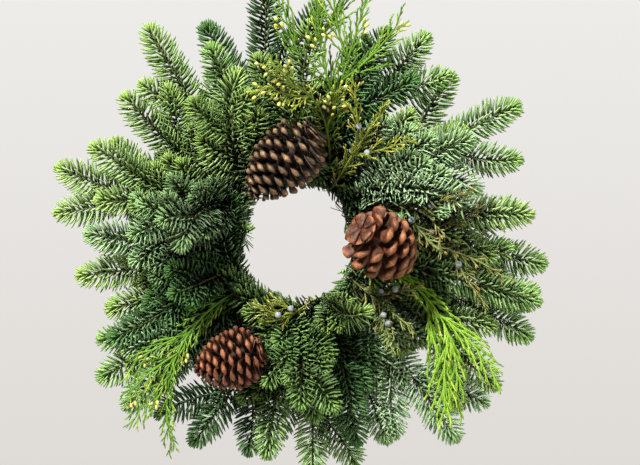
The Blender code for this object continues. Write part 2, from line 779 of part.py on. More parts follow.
def bore_pick_hole(obj, cone, cutters):
    """The hole that the pick is pushed into, from the ring's side."""
    *_, last, seat = pick_points(cone)
    heading = unit(seat - last)
    start = last + heading * 2.0
    end = seat + heading * PICK_CLEARANCE
    drill = wire_object(cone.name + "_hole", [start, end], PICK_WIRE + PICK_CLEARANCE, cutters)
    graph = bpy.context.evaluated_depsgraph_get()
    bpy.context.view_layer.update()
    mesh = bpy.data.meshes.new_from_object(drill.evaluated_get(graph))
    bm = bmesh.new()
    bm.from_mesh(mesh)
    bmesh.ops.remove_doubles(bm, verts=bm.verts, dist=1e-6)
    bpy.data.objects.remove(drill)
    cutter = new_object(cone.name + "_hole", bm, cutters)
    cutter.hide_render = True
    cutter.display_type = "WIRE"
    cut = obj.modifiers.new("Pick hole", "BOOLEAN")
    cut.operation = "DIFFERENCE"
    cut.solver = "EXACT"
    cut.object = cutter


def place_wires(space, collection):
    """Ring, binding wire and picks, as solids and as things to keep clear of."""
    bpy.ops.mesh.primitive_torus_add(
        major_segments=RING_SEGMENTS,
        minor_segments=RING_SIDES,
        major_radius=RING_RADIUS * METRES,
        minor_radius=RING_WIRE * METRES,
        location=RING_CENTRE * METRES,
        rotation=(math.pi / 2, 0.0, 0.0),
    )
    ring = bpy.context.object
    ring.name = "wire_ring"
    for holder in ring.users_collection:
        holder.objects.unlink(ring)
    collection.objects.link(ring)
    ring.data.materials.append(material("green_wire", (0.02, 0.05, 0.03), 0.45, 0.6))
    clocks = np.linspace(0.0, 360.0, RING_SEGMENTS + 1)
    circle = np.array([on_ring(clock) for clock in clocks])
    girth = [RING_WIRE] * RING_SEGMENTS
    space.add(circle[:-1], circle[1:], girth, girth, "wire_ring")
    routes = {"binding_wire": (binding_points(), BINDING_WIRE)}
    for cone in CONES:
        routes[cone.name.replace("pine_cone", "cone_pick")] = (pick_points(cone), PICK_WIRE)
    for name, (points, radius) in routes.items():
        wire = wire_object(name, points, radius, collection)
        wire.data.materials.append(material("thin_wire", (0.03, 0.05, 0.035), 0.4, 0.7))
        points = np.array(points)
        girth = [radius] * (len(points) - 1)
        space.add(points[:-1], points[1:], girth, girth, name)


def reserve_cones(space):
    """Each cone as a row of short fat rods, with its pick left out."""
    for cone in CONES:
        centre, axis, _, _ = cone_frame(cone)
        shares = np.linspace(0.04, 0.96, CONE_BALLS + 1)
        points = np.array([centre + axis * cone.length * (share - 0.5) for share in shares])
        girths = np.array([cone.width / 2 * cone_girth(share) + SCALE_POINT for share in shares])
        space.add(points[:-1], points[1:], girths[:-1], girths[1:], cone.name)


def named_sprays():
    sprays = []
    for kind, word, rows in (
        ("cedar", "cedar_spray", CEDAR_SPRAYS),
        ("juniper", "juniper_sprig", JUNIPER_SPRIGS),
        ("fir", "fir_spray", FIR_SPRAYS),
    ):
        for number, row in enumerate(rows, start=1):
            sprays.append(Spray(f"{word}_{number:02d}", kind, *row))
    return sprays


def main():
    for obj in list(bpy.data.objects):
        bpy.data.objects.remove(obj)
    wreath = bpy.data.collections.new("christmas_wreath")
    cutters = bpy.data.collections.new("cutters")
    for collection in (wreath, cutters):
        bpy.context.scene.collection.children.link(collection)
    space = Space()
    place_wires(space, wreath)
    reserve_cones(space)
    for cone in CONES:
        solid = cone_solid(cone, wreath)
        bore_pick_hole(solid, cone, cutters)
    sprays = named_sprays()
    routes = [settle(spray, sprays, space) for spray in sprays]
    for spray, twigs in zip(sprays, routes):
        spray_solid(spray, twigs, space, wreath)


main()
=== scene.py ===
"""The looks of a Christmas wreath of fir, cedar and juniper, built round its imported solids.

Every spray is rebuilt on the twigs that its solid has, with all of their needles or scale leaves.
Lengths are millimetres, turned into metres where a mesh is made. Clock angles are degrees
clockwise from the top, seen from the front. Depths are measured forward from the ring.
"""

import itertools
import math
from collections import namedtuple

import bpy
import numpy as np
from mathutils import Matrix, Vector


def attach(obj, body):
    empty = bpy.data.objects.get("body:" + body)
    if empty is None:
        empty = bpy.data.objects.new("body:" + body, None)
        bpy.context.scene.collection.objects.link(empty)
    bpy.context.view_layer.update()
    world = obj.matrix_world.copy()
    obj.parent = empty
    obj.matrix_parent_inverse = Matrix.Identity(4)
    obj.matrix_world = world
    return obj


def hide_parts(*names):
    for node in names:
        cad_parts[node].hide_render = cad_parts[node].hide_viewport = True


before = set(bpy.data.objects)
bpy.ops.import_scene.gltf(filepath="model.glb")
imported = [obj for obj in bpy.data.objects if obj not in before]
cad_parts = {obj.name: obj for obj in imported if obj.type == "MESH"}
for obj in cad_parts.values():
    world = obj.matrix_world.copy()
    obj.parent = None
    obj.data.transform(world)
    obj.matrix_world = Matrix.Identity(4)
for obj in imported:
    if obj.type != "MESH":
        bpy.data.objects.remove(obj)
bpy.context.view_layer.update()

METRES = 0.001

# Ring, binding wire and picks, as in the solids
RING_RADIUS = 76.0
RING_WIRE = 2.0
STEM_RADIUS = 1.8
LANE_GAP = 0.5
BINDING_WIRE = 0.6
TURNS = 20
PICK_WIRE = 0.7
PICK_LOOP_POINTS = 8
PICK_LOOP_STEP = 2.4
PICK_LEAVES = 60.0
PICK_SEAT = 0.10
TURN_POINTS = 6
LANE_RADIUS = RING_WIRE + STEM_RADIUS + LANE_GAP
BINDING_INSIDE = LANE_RADIUS + STEM_RADIUS + LANE_GAP
BINDING_RADIUS = (BINDING_INSIDE + BINDING_WIRE) / math.cos(math.pi / TURN_POINTS)
PICK_LOOP_RADIUS = (BINDING_RADIUS + BINDING_WIRE + LANE_GAP + PICK_WIRE) / math.cos(
    math.pi / PICK_LOOP_POINTS
)
PITCH = 360.0 / TURNS

RIGHT = np.array([1.0, 0.0, 0.0])
FRONT = np.array([0.0, -1.0, 0.0])
UP = np.array([0.0, 0.0, 1.0])
RING_CENTRE = np.array([0.0, 0.0, -(RING_RADIUS - RING_WIRE)])

# Routes of the stems, as in the solids
LANES = {"back": -40.0, "mid": 20.0, "front": 80.0, "inner": 140.0, "within": 200.0}
LEAVING_ARC = 5.0
LEAVING_REACH = 9.0
LONGEST_BUTT = 22.0
BUTT_POINTS = 5
BEND_SHARE = 0.6
BEND_RISE = 10.0
MAIN_SAMPLES = 40
SIDE_SAMPLES = 14
BARE_LENGTH = 24.0
BARE_SHARE = 0.3
SIDE_RISE = 3.5
HEADING_STEP = 6.0
SIDE_LENGTH = 1.53
SIDE_SHORTENING = 0.7
END_BAND = 1.5
END_BUD = 5.0
MAIN_RADII = (STEM_RADIUS, 1.1)
SIDE_RADII = (1.5, 1.0)

# Spacing and width of the whorls on a solid's twig, the shares of its free length where side twigs
# fork off, how far they lean away, and how much of their length bends back along the main twig
Species = namedtuple("Species", "whorl band side_roots side_angle side_curl")
SPECIES = {
    "fir": Species(37.0, 3.2, (0.44, 0.60), 48.0, 0.25),
    "cedar": Species(28.0, 3.4, (0.42, 0.56, 0.70), 38.0, 0.3),
    "juniper": Species(24.0, 3.0, (0.42, 0.62), 45.0, 0.2),
}

# One row a spray: lane, station round the ring, tip (clock, radius, depth), side twigs' length as a
# share of the free length, needles' colour, side twigs' side (1 clockwise, -1 counter, 0 both) and
# control point
Spray = namedtuple(
    "Spray", "name kind lane station tip spread colour side via", defaults=(None, 0, None)
)

CEDAR_SPRAYS = (
    ("front", 19, (5, 286, 55), 0.40),
    ("front", 0, (16, 300, 62), 0.40),
    ("mid", 1, (343, 178, 104), 0.22, None, 0, (12, 226, 92)),
    ("front", 5, (135, 262, 80), 0.42, None, 0, (103, 205, 62)),
    ("front", 12, (214, 280, 60), 0.28, None, 1, (242, 205, 92)),
)
JUNIPER_SPRIGS = (
    ("inner", 8, (203, 101, 62), 0.34, None, 1, (184, 96, 64)),
    ("front", 3, (87, 166, 104), 0.45, None, 0, (66, 172, 84)),
    ("mid", 4, (100, 246, 80), 0.38, None, 0, (90, 196, 66)),
    ("inner", 6, (127, 168, 84), 0.42),
    ("inner", 1, (34, 190, 92), 0.45, None, 0, (30, 140, 96)),
)
FIR_SPRAYS = (
    ("front", 1, (73, 214, 72), 0.32, "blue", 0, (45, 168, 78)),
    ("front", 2, (84, 200, 92), 0.28, "blue", 0, (62, 165, 92)),
    ("front", 8, (132, 112, 84), 0.0, "lime", 0, (146, 112, 84)),
    ("front", 9, (176, 184, 84), 0.40, "green"),
    ("front", 10, (187, 152, 70), 0.32, "green", -1),
    ("front", 13, (247, 152, 82), 0.36, "dark"),
    ("front", 15, (281, 180, 84), 0.38, "blue"),
    ("front", 16, (267, 132, 96), 0.28, "blue", 0, (292, 136, 88)),
    ("front", 17, (340, 203, 80), 0.34, "lime", 0, (322, 160, 88)),
    ("inner", 17, (334, 120, 52), 0.0, "blue"),
    ("within", 14, (284, 60, 36), 0.0, "green"),
    ("inner", 2, (72, 62, 44), 0.0, "dark"),
    ("inner", 5, (121, 66, 40), 0.0, "green"),
    ("mid", 0, (23, 262, 50), 0.40, "dark", 1),
    ("mid", 2, (56, 228, 60), 0.40, "lime", -1),
    ("mid", 3, (83, 268, 55), 0.36, "lime", 1),
    ("mid", 5, (104, 284, 48), 0.34, "green", -1),
    ("mid", 8, (163, 239, 52), 0.36, "dark", 1),
    ("mid", 10, (188, 246, 55), 0.40, "green", -1),
    ("mid", 12, (226, 272, 48), 0.34, "blue", 1),
    ("mid", 13, (242, 240, 48), 0.32, "dark", -1),
    ("mid", 14, (272, 238, 58), 0.40, "blue", 1),
    ("mid", 15, (295, 257, 55), 0.36, "lime", -1),
    ("mid", 18, (336, 244, 50), 0.34, "green", 1),
    ("mid", 19, (1, 250, 55), 0.42, "lime", -1),
    ("back", 0, (32, 280, 25), 0.34, "green"),
    ("back", 2, (58, 299, 28), 0.40, "green"),
    ("back", 4, (95, 285, 25), 0.38, "green"),
    ("back", 5, (112, 290, 20), 0.34, "green"),
    ("back", 6, (126, 283, 22), 0.34, "lime"),
    ("back", 7, (141, 292, 25), 0.36, "blue"),
    ("back", 8, (153, 251, 25), 0.36, "blue"),
    ("back", 9, (171, 264, 28), 0.40, "green"),
    ("back", 10, (207, 260, 24), 0.42, "dark"),
    ("back", 12, (235, 276, 24), 0.30, "green"),
    ("back", 13, (250, 229, 25), 0.36, "lime"),
    ("back", 14, (261, 253, 25), 0.32, "lime"),
    ("back", 15, (287, 288, 25), 0.34, "lime"),
    ("back", 16, (305, 260, 25), 0.36, "lime"),
    ("back", 17, (325, 302, 25), 0.26, "lime"),
    ("back", 18, (353, 302, 20), 0.42, "dark"),
)
SPRAYS = [
    Spray(f"{kind}_{word}_{number:02d}", kind, *row)
    for kind, word, rows in (
        ("cedar", "spray", CEDAR_SPRAYS),
        ("juniper", "sprig", JUNIPER_SPRIGS),
        ("fir", "spray", FIR_SPRAYS),
    )
    for number, row in enumerate(rows, start=1)
]
SHIFTS = tuple(
    (turn, rise)
    for rise in (0, 5, -5, 10, -10, 15, -15, 20, -20, 26, -26, 32)
    for turn in (0, 2.5, -2.5, 5, -5)
)

Cone = namedtuple("Cone", "name look centre axis length width loop_clock scales lean scale_width")
CONE_ROWS = (
    ("cone_brown", (349, 92, 78), (-0.70, 0.14, -0.70), 118, 78, 342, 104, 2, 17),
    ("cone_orange", (94, 102, 82), (0.58, 0.68, -0.45), 104, 80, 90, 66, -6, 21),
    ("cone_red", (210, 160, 74), (-0.95, 0.05, -0.30), 88, 72, 204, 92, 4, 16),
)
CONES = [Cone(f"pine_cone_{number}", *row) for number, row in enumerate(CONE_ROWS, start=1)]

# Camera and stage
CAMERA_DISTANCE = 3000.0
IMAGE_WIDTH = 748.8
IMAGE_CENTRE = (26.9, -62.9)
WREATH_DEPTH = 60.0
SENSOR = 36.0
FLOOR_HEIGHT = -620.0
FLOOR_RADIUS = 2400.0

GOLDEN_TURN = 137.508


def norms(rows):
    return np.linalg.norm(rows, axis=-1)


def unit(vector):
    return vector / norms(vector)


def units(rows):
    return rows / np.maximum(norms(rows)[..., None], 1e-9)


def turned(first, second, degrees):
    """Directions at an angle from the first ones towards the second."""
    turn = np.radians(degrees)[..., None]
    return first * np.cos(turn) + second * np.sin(turn)


def outward(clock):
    return turned(UP, RIGHT, clock)


def clockwise(clock):
    return turned(RIGHT, -UP, clock)


def lane_direction(clock, lane):
    return turned(outward(clock), FRONT, lane)


def on_ring(clock, reach, lane):
    """A point at this reach from the centre line of the ring's wire."""
    return RING_CENTRE + outward(clock) * RING_RADIUS + lane_direction(clock, lane) * reach


def out_from_centre(clock, radius, depth):
    return RING_CENTRE + outward(clock) * radius + FRONT * depth


def to_axis(points):
    return norms((points - RING_CENTRE)[..., [0, 2]])


def arc_degrees(length):
    return math.degrees(length / RING_RADIUS)


def bezier(corners, count):
    t = np.linspace(0.0, 1.0, count)[:, None]
    last = len(corners) - 1
    weights = [math.comb(last, step) * t**step * (1 - t) ** (last - step) for step in range(last + 1)]
    return sum(weight * corner for weight, corner in zip(weights, corners))


def lengths_along(points):
    return np.append(0.0, np.cumsum(norms(np.diff(points, axis=0))))


def sampled(points, wanted):
    travelled = lengths_along(points)
    return np.stack([np.interp(wanted, travelled, line) for line in points.T], axis=-1)


def headings_at(points, wanted):
    half = HEADING_STEP / 2
    return units(sampled(points, wanted + half) - sampled(points, wanted - half))


# A side twig's side is 1 clockwise or -1 counter, a main twig's 0
Twig = namedtuple("Twig", "points side root_radius tip_radius")


def lane_clock(spray):
    return (spray.station + LANES[spray.lane] / 360.0 + 0.5) * PITCH


def butt_length(spray):
    behind = [
        (lane_clock(spray) - lane_clock(other)) % 360.0
        for other in SPRAYS
        if other.lane == spray.lane and other is not spray
    ]
    free = min(behind, default=360.0) * math.radians(RING_RADIUS) - 2 * LEAVING_ARC
    return min(LONGEST_BUTT, free)


def shifted(place, turn, rise):
    clock, radius, depth = place
    return out_from_centre(clock + turn, radius, depth + rise)


def main_route(spray, butt, turn, rise):
    lane = LANES[spray.lane]
    leaving = lane_clock(spray) - arc_degrees(LEAVING_ARC)
    clocks = np.linspace(leaving - arc_degrees(butt), leaving, BUTT_POINTS)
    along_ring = [on_ring(clock, LANE_RADIUS, lane) for clock in clocks]
    start = along_ring[-1]
    away = clockwise(leaving) + lane_direction(leaving, lane)
    tip = shifted(spray.tip, turn, rise)
    if spray.via:
        middle = shifted(spray.via, turn / 2, rise)
    else:
        middle = start + BEND_SHARE * (tip - start) + FRONT * (BEND_RISE + rise / 2)
    free = bezier((start, start + away * LEAVING_REACH, middle, tip), MAIN_SAMPLES)
    return np.vstack([along_ring[:-1], free])


def side_route(points, share, side, length, rise, species):
    travelled = lengths_along(points)
    here = share * travelled[-1]
    root, ahead = sampled(points, (here, here + HEADING_STEP))
    heading = unit(ahead - root)
    away = turned(heading, unit(np.cross(heading, FRONT)) * side, species.side_angle)
    middle = root + away * length * 0.5 + FRONT * rise
    tip = root + away * length * (1 - species.side_curl) + heading * length * species.side_curl
    return bezier((root, middle, tip + FRONT * rise), SIDE_SAMPLES)


def whorl_places(whole, bare, species):
    """Where a main twig's solid has its whorls, which is where its side twigs fork off."""
    room = whole - bare
    whorls = max(1, round(room / species.whorl))
    pitch = (room - species.band - END_BAND) / whorls
    return [bare + species.band / 2 + pitch * number for number in range(whorls + 1)]


def twigs_of(spray, butt, turn, rise):
    species = SPECIES[spray.kind]
    points = main_route(spray, butt, turn, rise)
    whole = lengths_along(points)[-1]
    free = whole - butt
    twigs = [Twig(points, 0, *MAIN_RADII)]
    if not spray.spread:
        return twigs
    bare = butt + min(BARE_LENGTH, BARE_SHARE * free)
    whorls = whorl_places(whole, bare, species)
    single = spray.kind == "fir" and spray.side != 0
    for number, share in enumerate(species.side_roots[: 1 if single else None]):
        side = spray.side or (1 if (number + spray.station) % 2 else -1)
        length = free * spray.spread * (SIDE_LENGTH - SIDE_SHORTENING * share)
        fork = min(whorls, key=lambda whorl: abs(whorl - butt - share * free))
        if len(whorls) > 1:
            whorls.remove(fork)
        route = side_route(points, fork / whole, side, length, SIDE_RISE * number, species)
        twigs.append(Twig(route, side, *SIDE_RADII))
    return twigs


def settled_twigs(spray):
    """The twigs at the small shift that the solid was built with, told by where its tip is."""
    butt = butt_length(spray)
    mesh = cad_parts[spray.name].data
    corners = np.array([vert.co for vert in mesh.vertices]) / METRES

    def miss(shift):
        points = main_route(spray, butt, *shift)
        return norms(corners - points[-1] - unit(points[-1] - points[-2]) * END_BUD).min()

    return butt, twigs_of(spray, butt, *min(SHIFTS, key=miss))


# Shapes made of many lofts

def new_object(name, data):
    thing = bpy.data.objects.new(name, data)
    bpy.context.scene.collection.objects.link(thing)
    return thing


class Shape:
    """Triangles gathered for one piece, with a few numbers at each corner for its materials."""

    def __init__(self):
        self.verts = []
        self.faces = []
        self.looks = []
        self.numbers = {name: [] for name in ("along", "across", "under", "vary", "young")}
        self.count = 0

    def loft(self, paths, ups, widths, heights, section, look, vary=0.5, young=0.0):
        """Tubes along paths (tubes, rings, 3) through scaled sections, each closed to a point.

        The section runs anticlockwise seen from the far end, x across and y along up. Ups, widths
        and heights may be shared by tubes or by rings.
        """
        paths, tips = paths[:, :-1], paths[:, -1:]
        tubes, rings, _ = paths.shape
        corners = len(section)
        headings = units(np.diff(np.concatenate([paths, tips], axis=1), axis=1))
        square = units(ups - (ups * headings).sum(axis=-1, keepdims=True) * headings)
        rights = np.cross(headings, square)
        x, y = section.T
        verts = (
            paths[:, :, None, :]
            + rights[:, :, None, :] * (widths[:, :, None] * x)[..., None]
            + square[:, :, None, :] * (heights[:, :, None] * y)[..., None]
        ).reshape(tubes, rings * corners, 3)
        verts = np.concatenate([verts, tips], axis=1)
        each = rings * corners + 1

        start = np.arange(each - 1).reshape(rings, corners)
        after = np.roll(start, -1, axis=1)
        grids = (
            (start[:-1], after[:-1], after[1:]),
            (start[:-1], after[1:], start[1:]),
            (start[-1], after[-1], each - 1),
            (0, start[0, 2:], start[0, 1:-1]),
        )
        faces = [np.stack(np.broadcast_arrays(*grid), axis=-1).reshape(-1, 3) for grid in grids]
        faces = np.concatenate(faces) + (self.count + np.arange(tubes) * each)[:, None, None]

        numbers = {
            "along": np.append(np.repeat(np.arange(rings) / rings, corners), 1.0),
            "across": np.append(np.tile(x / abs(x).max(), rings), 0.0),
            "under": np.append(np.tile(np.maximum(-y, 0.0) / abs(y).max(), rings), 0.0),
        }
        for name, values in numbers.items():
            self.numbers[name].append(np.tile(values, tubes))
        for name, values in (("vary", vary), ("young", young)):
            self.numbers[name].append(np.repeat(np.broadcast_to(values, tubes), each))
        self.verts.append(verts.reshape(-1, 3))
        self.faces.append(faces.reshape(-1, 3))
        self.looks.append(np.full(len(self.faces[-1]), look))
        self.count += tubes * each

    def tube(self, path, ups, girth, section, look, vary=0.5):
        self.loft(path[None], ups[None], girth[None], girth[None], section, look, vary)

    def made(self, name, materials):
        mesh = bpy.data.meshes.new(name)
        mesh.from_pydata(np.concatenate(self.verts) * METRES, [], np.concatenate(self.faces))
        mesh.polygons.foreach_set("material_index", np.concatenate(self.looks).astype(np.int32))
        for key, parts in self.numbers.items():
            layer = mesh.attributes.new(key, "FLOAT", "POINT")
            layer.data.foreach_set("value", np.concatenate(parts).astype(np.float32))
        mesh.shade_smooth()
        mesh.validate()
        for look in materials:
            mesh.materials.append(look)
        return new_object(name, mesh)


def round_section(corners):
    turns = -np.arange(corners) * 2 * math.pi / corners
    return np.column_stack([np.cos(turns), np.sin(turns)]) * 0.5


NEEDLE_SECTION = np.array([[-0.5, 0.0], [0.5, 0.0], [0.0, -0.55]])
TWIG_SECTION = round_section(6)
STRAND_SECTION = round_section(4)
WIRE_SECTION = round_section(8)


# Materials, in colours as they look on a screen, 0 to 255

def linear(red, green, blue):
    shares = (np.array([red, green, blue]) / 255.0 + 0.055) / 1.055
    return (*(shares**2.4), 1.0)


class Nodes:
    """A node tree under construction: short calls that add a node and link what feeds it."""

    def __init__(self, tree):
        self.tree = tree

    def link(self, source, socket):
        """Feeds a socket from a node or a number kept at the corners, or sets it."""
        if isinstance(source, str):
            source = self.number(source)
        if isinstance(source, bpy.types.NodeSocket):
            self.tree.links.new(source, socket)
        else:
            socket.default_value = linear(*source) if isinstance(source, tuple) else source

    def node(self, kind, inputs=None, **settings):
        node = self.tree.nodes.new(kind)
        for key, value in settings.items():
            setattr(node, key, value)
        for key, source in (inputs or {}).items():
            self.link(source, node.inputs[key])
        return node

    def number(self, name):
        """A number kept at the corners. The one called across is read without its sign."""
        value = self.node("ShaderNodeAttribute", attribute_name=name).outputs["Fac"]
        return self.maths("ABSOLUTE", value) if name == "across" else value

    def maths(self, operation, first, second=0.0):
        return self.node("ShaderNodeMath", {0: first, 1: second}, operation=operation).outputs[0]

    def noise(self, scale, detail=2.0, rough=0.5):
        where = self.node("ShaderNodeTexCoord").outputs["Object"]
        inputs = {"Vector": where, "Scale": scale, "Detail": detail, "Roughness": rough}
        return self.node("ShaderNodeTexNoise", inputs).outputs["Fac"]

    def ramp(self, value, *stops):
        """A stop is a position from 0 to 1, and a number or a screen colour there."""
        node = self.node("ShaderNodeValToRGB", {0: value})
        elements = node.color_ramp.elements
        while len(elements) < len(stops):
            elements.new(0.5)
        for element, (position, tone) in zip(elements, stops):
            element.position = position
            element.color = linear(*tone) if isinstance(tone, tuple) else (tone, tone, tone, 1.0)
        return node.outputs[0]

    def mix(self, share, first, second, blend="MIX"):
        inputs = {"Factor": share, 6: first, 7: second}
        return self.node("ShaderNodeMix", inputs, data_type="RGBA", blend_type=blend).outputs[2]


class Look(Nodes):
    """A material under construction, painted in layers, with a noise for its grain."""

    def __init__(self, name, *grain):
        self.material = bpy.data.materials.new(name)
        self.material.use_nodes = True
        super().__init__(self.material.node_tree)
        self.grain = self.noise(*grain)

    def paint(self, value, *stops):
        self.colour = self.ramp(value, *stops)

    def cover(self, tone, value, *stops):
        """A tone over the colour so far, as strong as the value, or as a ramp of it, says."""
        share = self.ramp(value, *stops) if stops else value
        self.colour = self.mix(share, self.colour, tone)

    def darken(self, value, *stops):
        self.colour = self.mix(1.0, self.colour, self.ramp(value, *stops), "MULTIPLY")

    def finish(self, roughness, bump=None, **sockets):
        """Bump is a height, a strength and a distance."""
        shader = self.tree.nodes["Principled BSDF"]
        self.link(self.colour, shader.inputs["Base Color"])
        self.link(roughness, shader.inputs["Roughness"])
        if bump:
            inputs = dict(zip(("Height", "Strength", "Distance"), bump))
            self.link(self.node("ShaderNodeBump", inputs).outputs[0], shader.inputs["Normal"])
        for name, value in sockets.items():
            shader.inputs[name.replace("_", " ")].default_value = value
        return self.material


# Foliage is darker where little light gets through to it
OPEN_STOPS = ((0.0, 0.02), (0.12, 0.14), (0.35, 0.62), (0.6, 1.0))

# Deep, usual, bright and young colours of each kind of needle: deep is the colour of painted
# shade and bright the colour of painted light and painted highlights
NEEDLE_COLOURS = {
    "lime": ((8, 28, 4), (76, 122, 42), (184, 213, 140), (160, 196, 78)),
    "green": ((3, 22, 4), (54, 104, 38), (176, 212, 138), (138, 186, 76)),
    "dark": ((1, 9, 3), (20, 52, 20), (108, 152, 94), (88, 136, 60)),
    "blue": ((3, 22, 8), (62, 114, 58), (194, 224, 176), (142, 188, 98)),
}
# Deep, usual, bright and young colours of each kind of strand
STRAND_COLOURS = {
    "cedar_green": ((34, 74, 8), (112, 160, 40), (176, 214, 84), (206, 210, 100)),
    "cedar_gold": ((62, 82, 14), (142, 164, 48), (200, 208, 90), (224, 210, 110)),
    "cedar_lime": ((66, 104, 14), (140, 188, 44), (192, 224, 88), (214, 228, 110)),
    "juniper": ((48, 62, 22), (134, 148, 78), (196, 202, 130), (198, 156, 90)),
    "juniper_gold": ((66, 78, 14), (150, 164, 46), (206, 208, 92), (222, 202, 110)),
}
# Deep, usual and rim colours of each cone's scales: deep, near black, is painted shade
SCALE_COLOURS = {
    "cone_brown": ((18, 9, 5), (74, 44, 26), (196, 158, 116)),
    "cone_orange": ((36, 14, 6), (142, 78, 46), (222, 150, 96)),
    "cone_red": ((26, 10, 5), (110, 52, 26), (206, 132, 86)),
}


def needle_look(name):
    deep, usual, bright, young = NEEDLE_COLOURS[name]
    look = Look(f"fir_{name}", 38.0, 3.0)
    # The colour runs with vary from deep to bright: a random tone, with painted light and shade
    look.paint("vary", (0.0, deep), (0.45, usual), (1.0, bright))
    look.cover(usual, look.grain, (0.35, 0.25), (0.65, 0.0))
    look.cover(young, "young")
    # Lighter bands along each needle, either side of its middle: painted highlights
    look.cover(bright, "across", (0.12, 0.0), (0.3, 0.5), (0.6, 0.5), (0.85, 0.0))
    # Needles darker at their feet, next to the twig: painted shade
    look.cover(deep, "along", (0.0, 0.8), (0.4, 0.0))
    # The keel on the underside of each needle darker: painted shade
    look.cover(deep, "under", (0.05, 0.0), (0.45, 0.85))
    look.darken("open", *OPEN_STOPS)
    roughness = look.ramp(look.grain, (0.3, 0.42), (0.7, 0.6))
    return look.finish(roughness, (look.noise(900.0, 1.0), 0.2, 0.0004), Specular_IOR_Level=0.15)


def bark_look(name, dark, light, green=None):
    look = Look(name, 260.0, 4.0, 0.65)
    look.paint(look.grain, (0.3, dark), (0.7, light))
    if green:
        look.cover(green, "along", (0.1, 0.0), (0.6, 1.0))
    look.darken("open", *OPEN_STOPS)
    return look.finish(0.75, (look.grain, 0.5, 0.0008))


def strand_look(name):
    """Scale leaves, in pairs that overlap along the strand, and young growth at some ends."""
    deep, usual, bright, young = STRAND_COLOURS[name]
    look = Look(name, 60.0, 3.0)
    leaves = look.noise(700.0, 2.0)
    look.paint("vary", (0.0, deep), (0.5, usual), (1.0, bright))
    look.cover(usual, look.grain, (0.4, 0.5), (0.7, 0.0))
    look.cover(deep, leaves, (0.4, 0.5), (0.6, 0.0))
    look.cover(young, look.maths("MULTIPLY", "young", look.ramp("along", (0.45, 0.0), (0.9, 1.0))))
    look.darken("open", *OPEN_STOPS)
    return look.finish(0.5, (leaves, 0.6, 0.0006), Specular_IOR_Level=0.35)


def scale_look(name):
    """Painted shade at the foot of a scale, where scales meet, and pale on the boss at its end."""
    deep, usual, rim = SCALE_COLOURS[name]
    look = Look(name, 120.0, 5.0, 0.6)
    # Near black at the foot of each scale: painted shade in the gaps between the scales
    look.paint("along", (0.0, deep), (0.42, deep), (0.6, usual), (0.86, rim))
    look.cover(usual, look.noise(420.0, 3.0, 0.6), (0.4, 0.7), (0.62, 0.0))
    look.cover(usual, "across", (0.5, 0.0), (1.0, 0.7))
    look.cover(deep, look.grain, (0.35, 0.6), (0.6, 0.0))
    look.darken("vary", (0.0, 0.55), (1.0, 1.0))
    roughness = look.ramp(look.grain, (0.3, 0.45), (0.7, 0.7))
    return look.finish(roughness, (look.grain, 0.5, 0.001))


def berry_look():
    look = Look("juniper_berry", 170.0, 4.0)
    tones = (92, 104, 104), (146, 154, 160), (192, 194, 204)
    look.paint(look.grain, *zip((0.32, 0.5, 0.7), tones))
    look.cover((112, 124, 84), "along", (0.0, 0.8), (0.12, 0.0))
    return look.finish(0.62, (look.grain, 0.15, 0.0006))


def bud_look():
    look = Look("cedar_bud", 210.0, 3.0)
    tones = (172, 178, 62), (220, 212, 104), (240, 232, 160)
    look.paint(look.grain, *zip((0.34, 0.5, 0.68), tones))
    look.darken("open", *OPEN_STOPS)
    return look.finish(0.5, (look.grain, 0.3, 0.0005))


def wire_look(name, paint, steel):
    look = Look(name, 420.0, 4.0, 0.7)
    look.paint(look.grain, (0.3, paint), (0.66, paint), (0.74, steel))
    roughness = look.ramp(look.grain, (0.3, 0.38), (0.7, 0.6))
    return look.finish(roughness, (look.noise(900.0), 0.2, 0.0003), Metallic=0.35)


# Foliage

FACING_OUT = 0.35
STEM_STEP = 7.0
STEM_POINT = 1.5


def twig_frames(points, wanted):
    """Places along a twig, its headings there, and where its upper side and its right face."""
    here = sampled(points, wanted)
    headings = headings_at(points, wanted)
    away = units((here - RING_CENTRE) * (1, 0, 1))
    faces = FRONT + FACING_OUT * away
    faces = units(faces - (faces * headings).sum(axis=1, keepdims=True) * headings)
    return here, headings, faces, np.cross(headings, faces)


def add_stem(shape, points, root_radius, tip_radius, look):
    whole = lengths_along(points)[-1]
    rings = max(3, int(whole / STEM_STEP))
    places = np.linspace(0.0, whole, rings + 1)
    path = sampled(points, places)
    path[-1] += unit(path[-1] - path[-2]) * STEM_POINT
    _, _, faces, _ = twig_frames(points, places[:-1])
    girth = np.linspace(root_radius, tip_radius, rings) * 2
    shape.tube(path, faces, girth, TWIG_SECTION, look)


# Ranks of needles: angle round the twig from its upper side, spacing, leans at the foot and the
# point of the needle, share of the full length, how much lighter it is painted: painted light on
# the ranks that face the light, painted shade on the rank underneath
Rank = namedtuple("Rank", "around spacing foot_lean point_lean share light")
RANKS = (
    Rank(86.0, 5.1, 78.0, 56.0, 1.0, -0.06),
    Rank(58.0, 5.1, 76.0, 50.0, 1.0, 0.12),
    Rank(26.0, 7.6, 62.0, 32.0, 0.8, 0.2),
    Rank(114.0, 6.8, 72.0, 54.0, 0.9, -0.6),
)
RANK_OFFSET = 0.5
NEEDLE_LENGTH = 26.0
NEEDLE_WIDTH = 2.5
NEEDLE_HEIGHT = 1.3
NEEDLE_STATIONS = np.array([0.0, 0.5, 0.87, 1.0])
NEEDLE_GIRTHS = np.array([0.7, 1.0, 0.8])
SHORTEST_TWIG = 8.0

# The brush of needles round a twig's end, and the stretches at its end and its root where needles
# are shorter or lie closer to it
BRUSH = 12
END_STRETCH = 26.0
ROOT_STRETCH = 20.0

# How far back anything reaches, which is short of the wall
WALL = 11.0

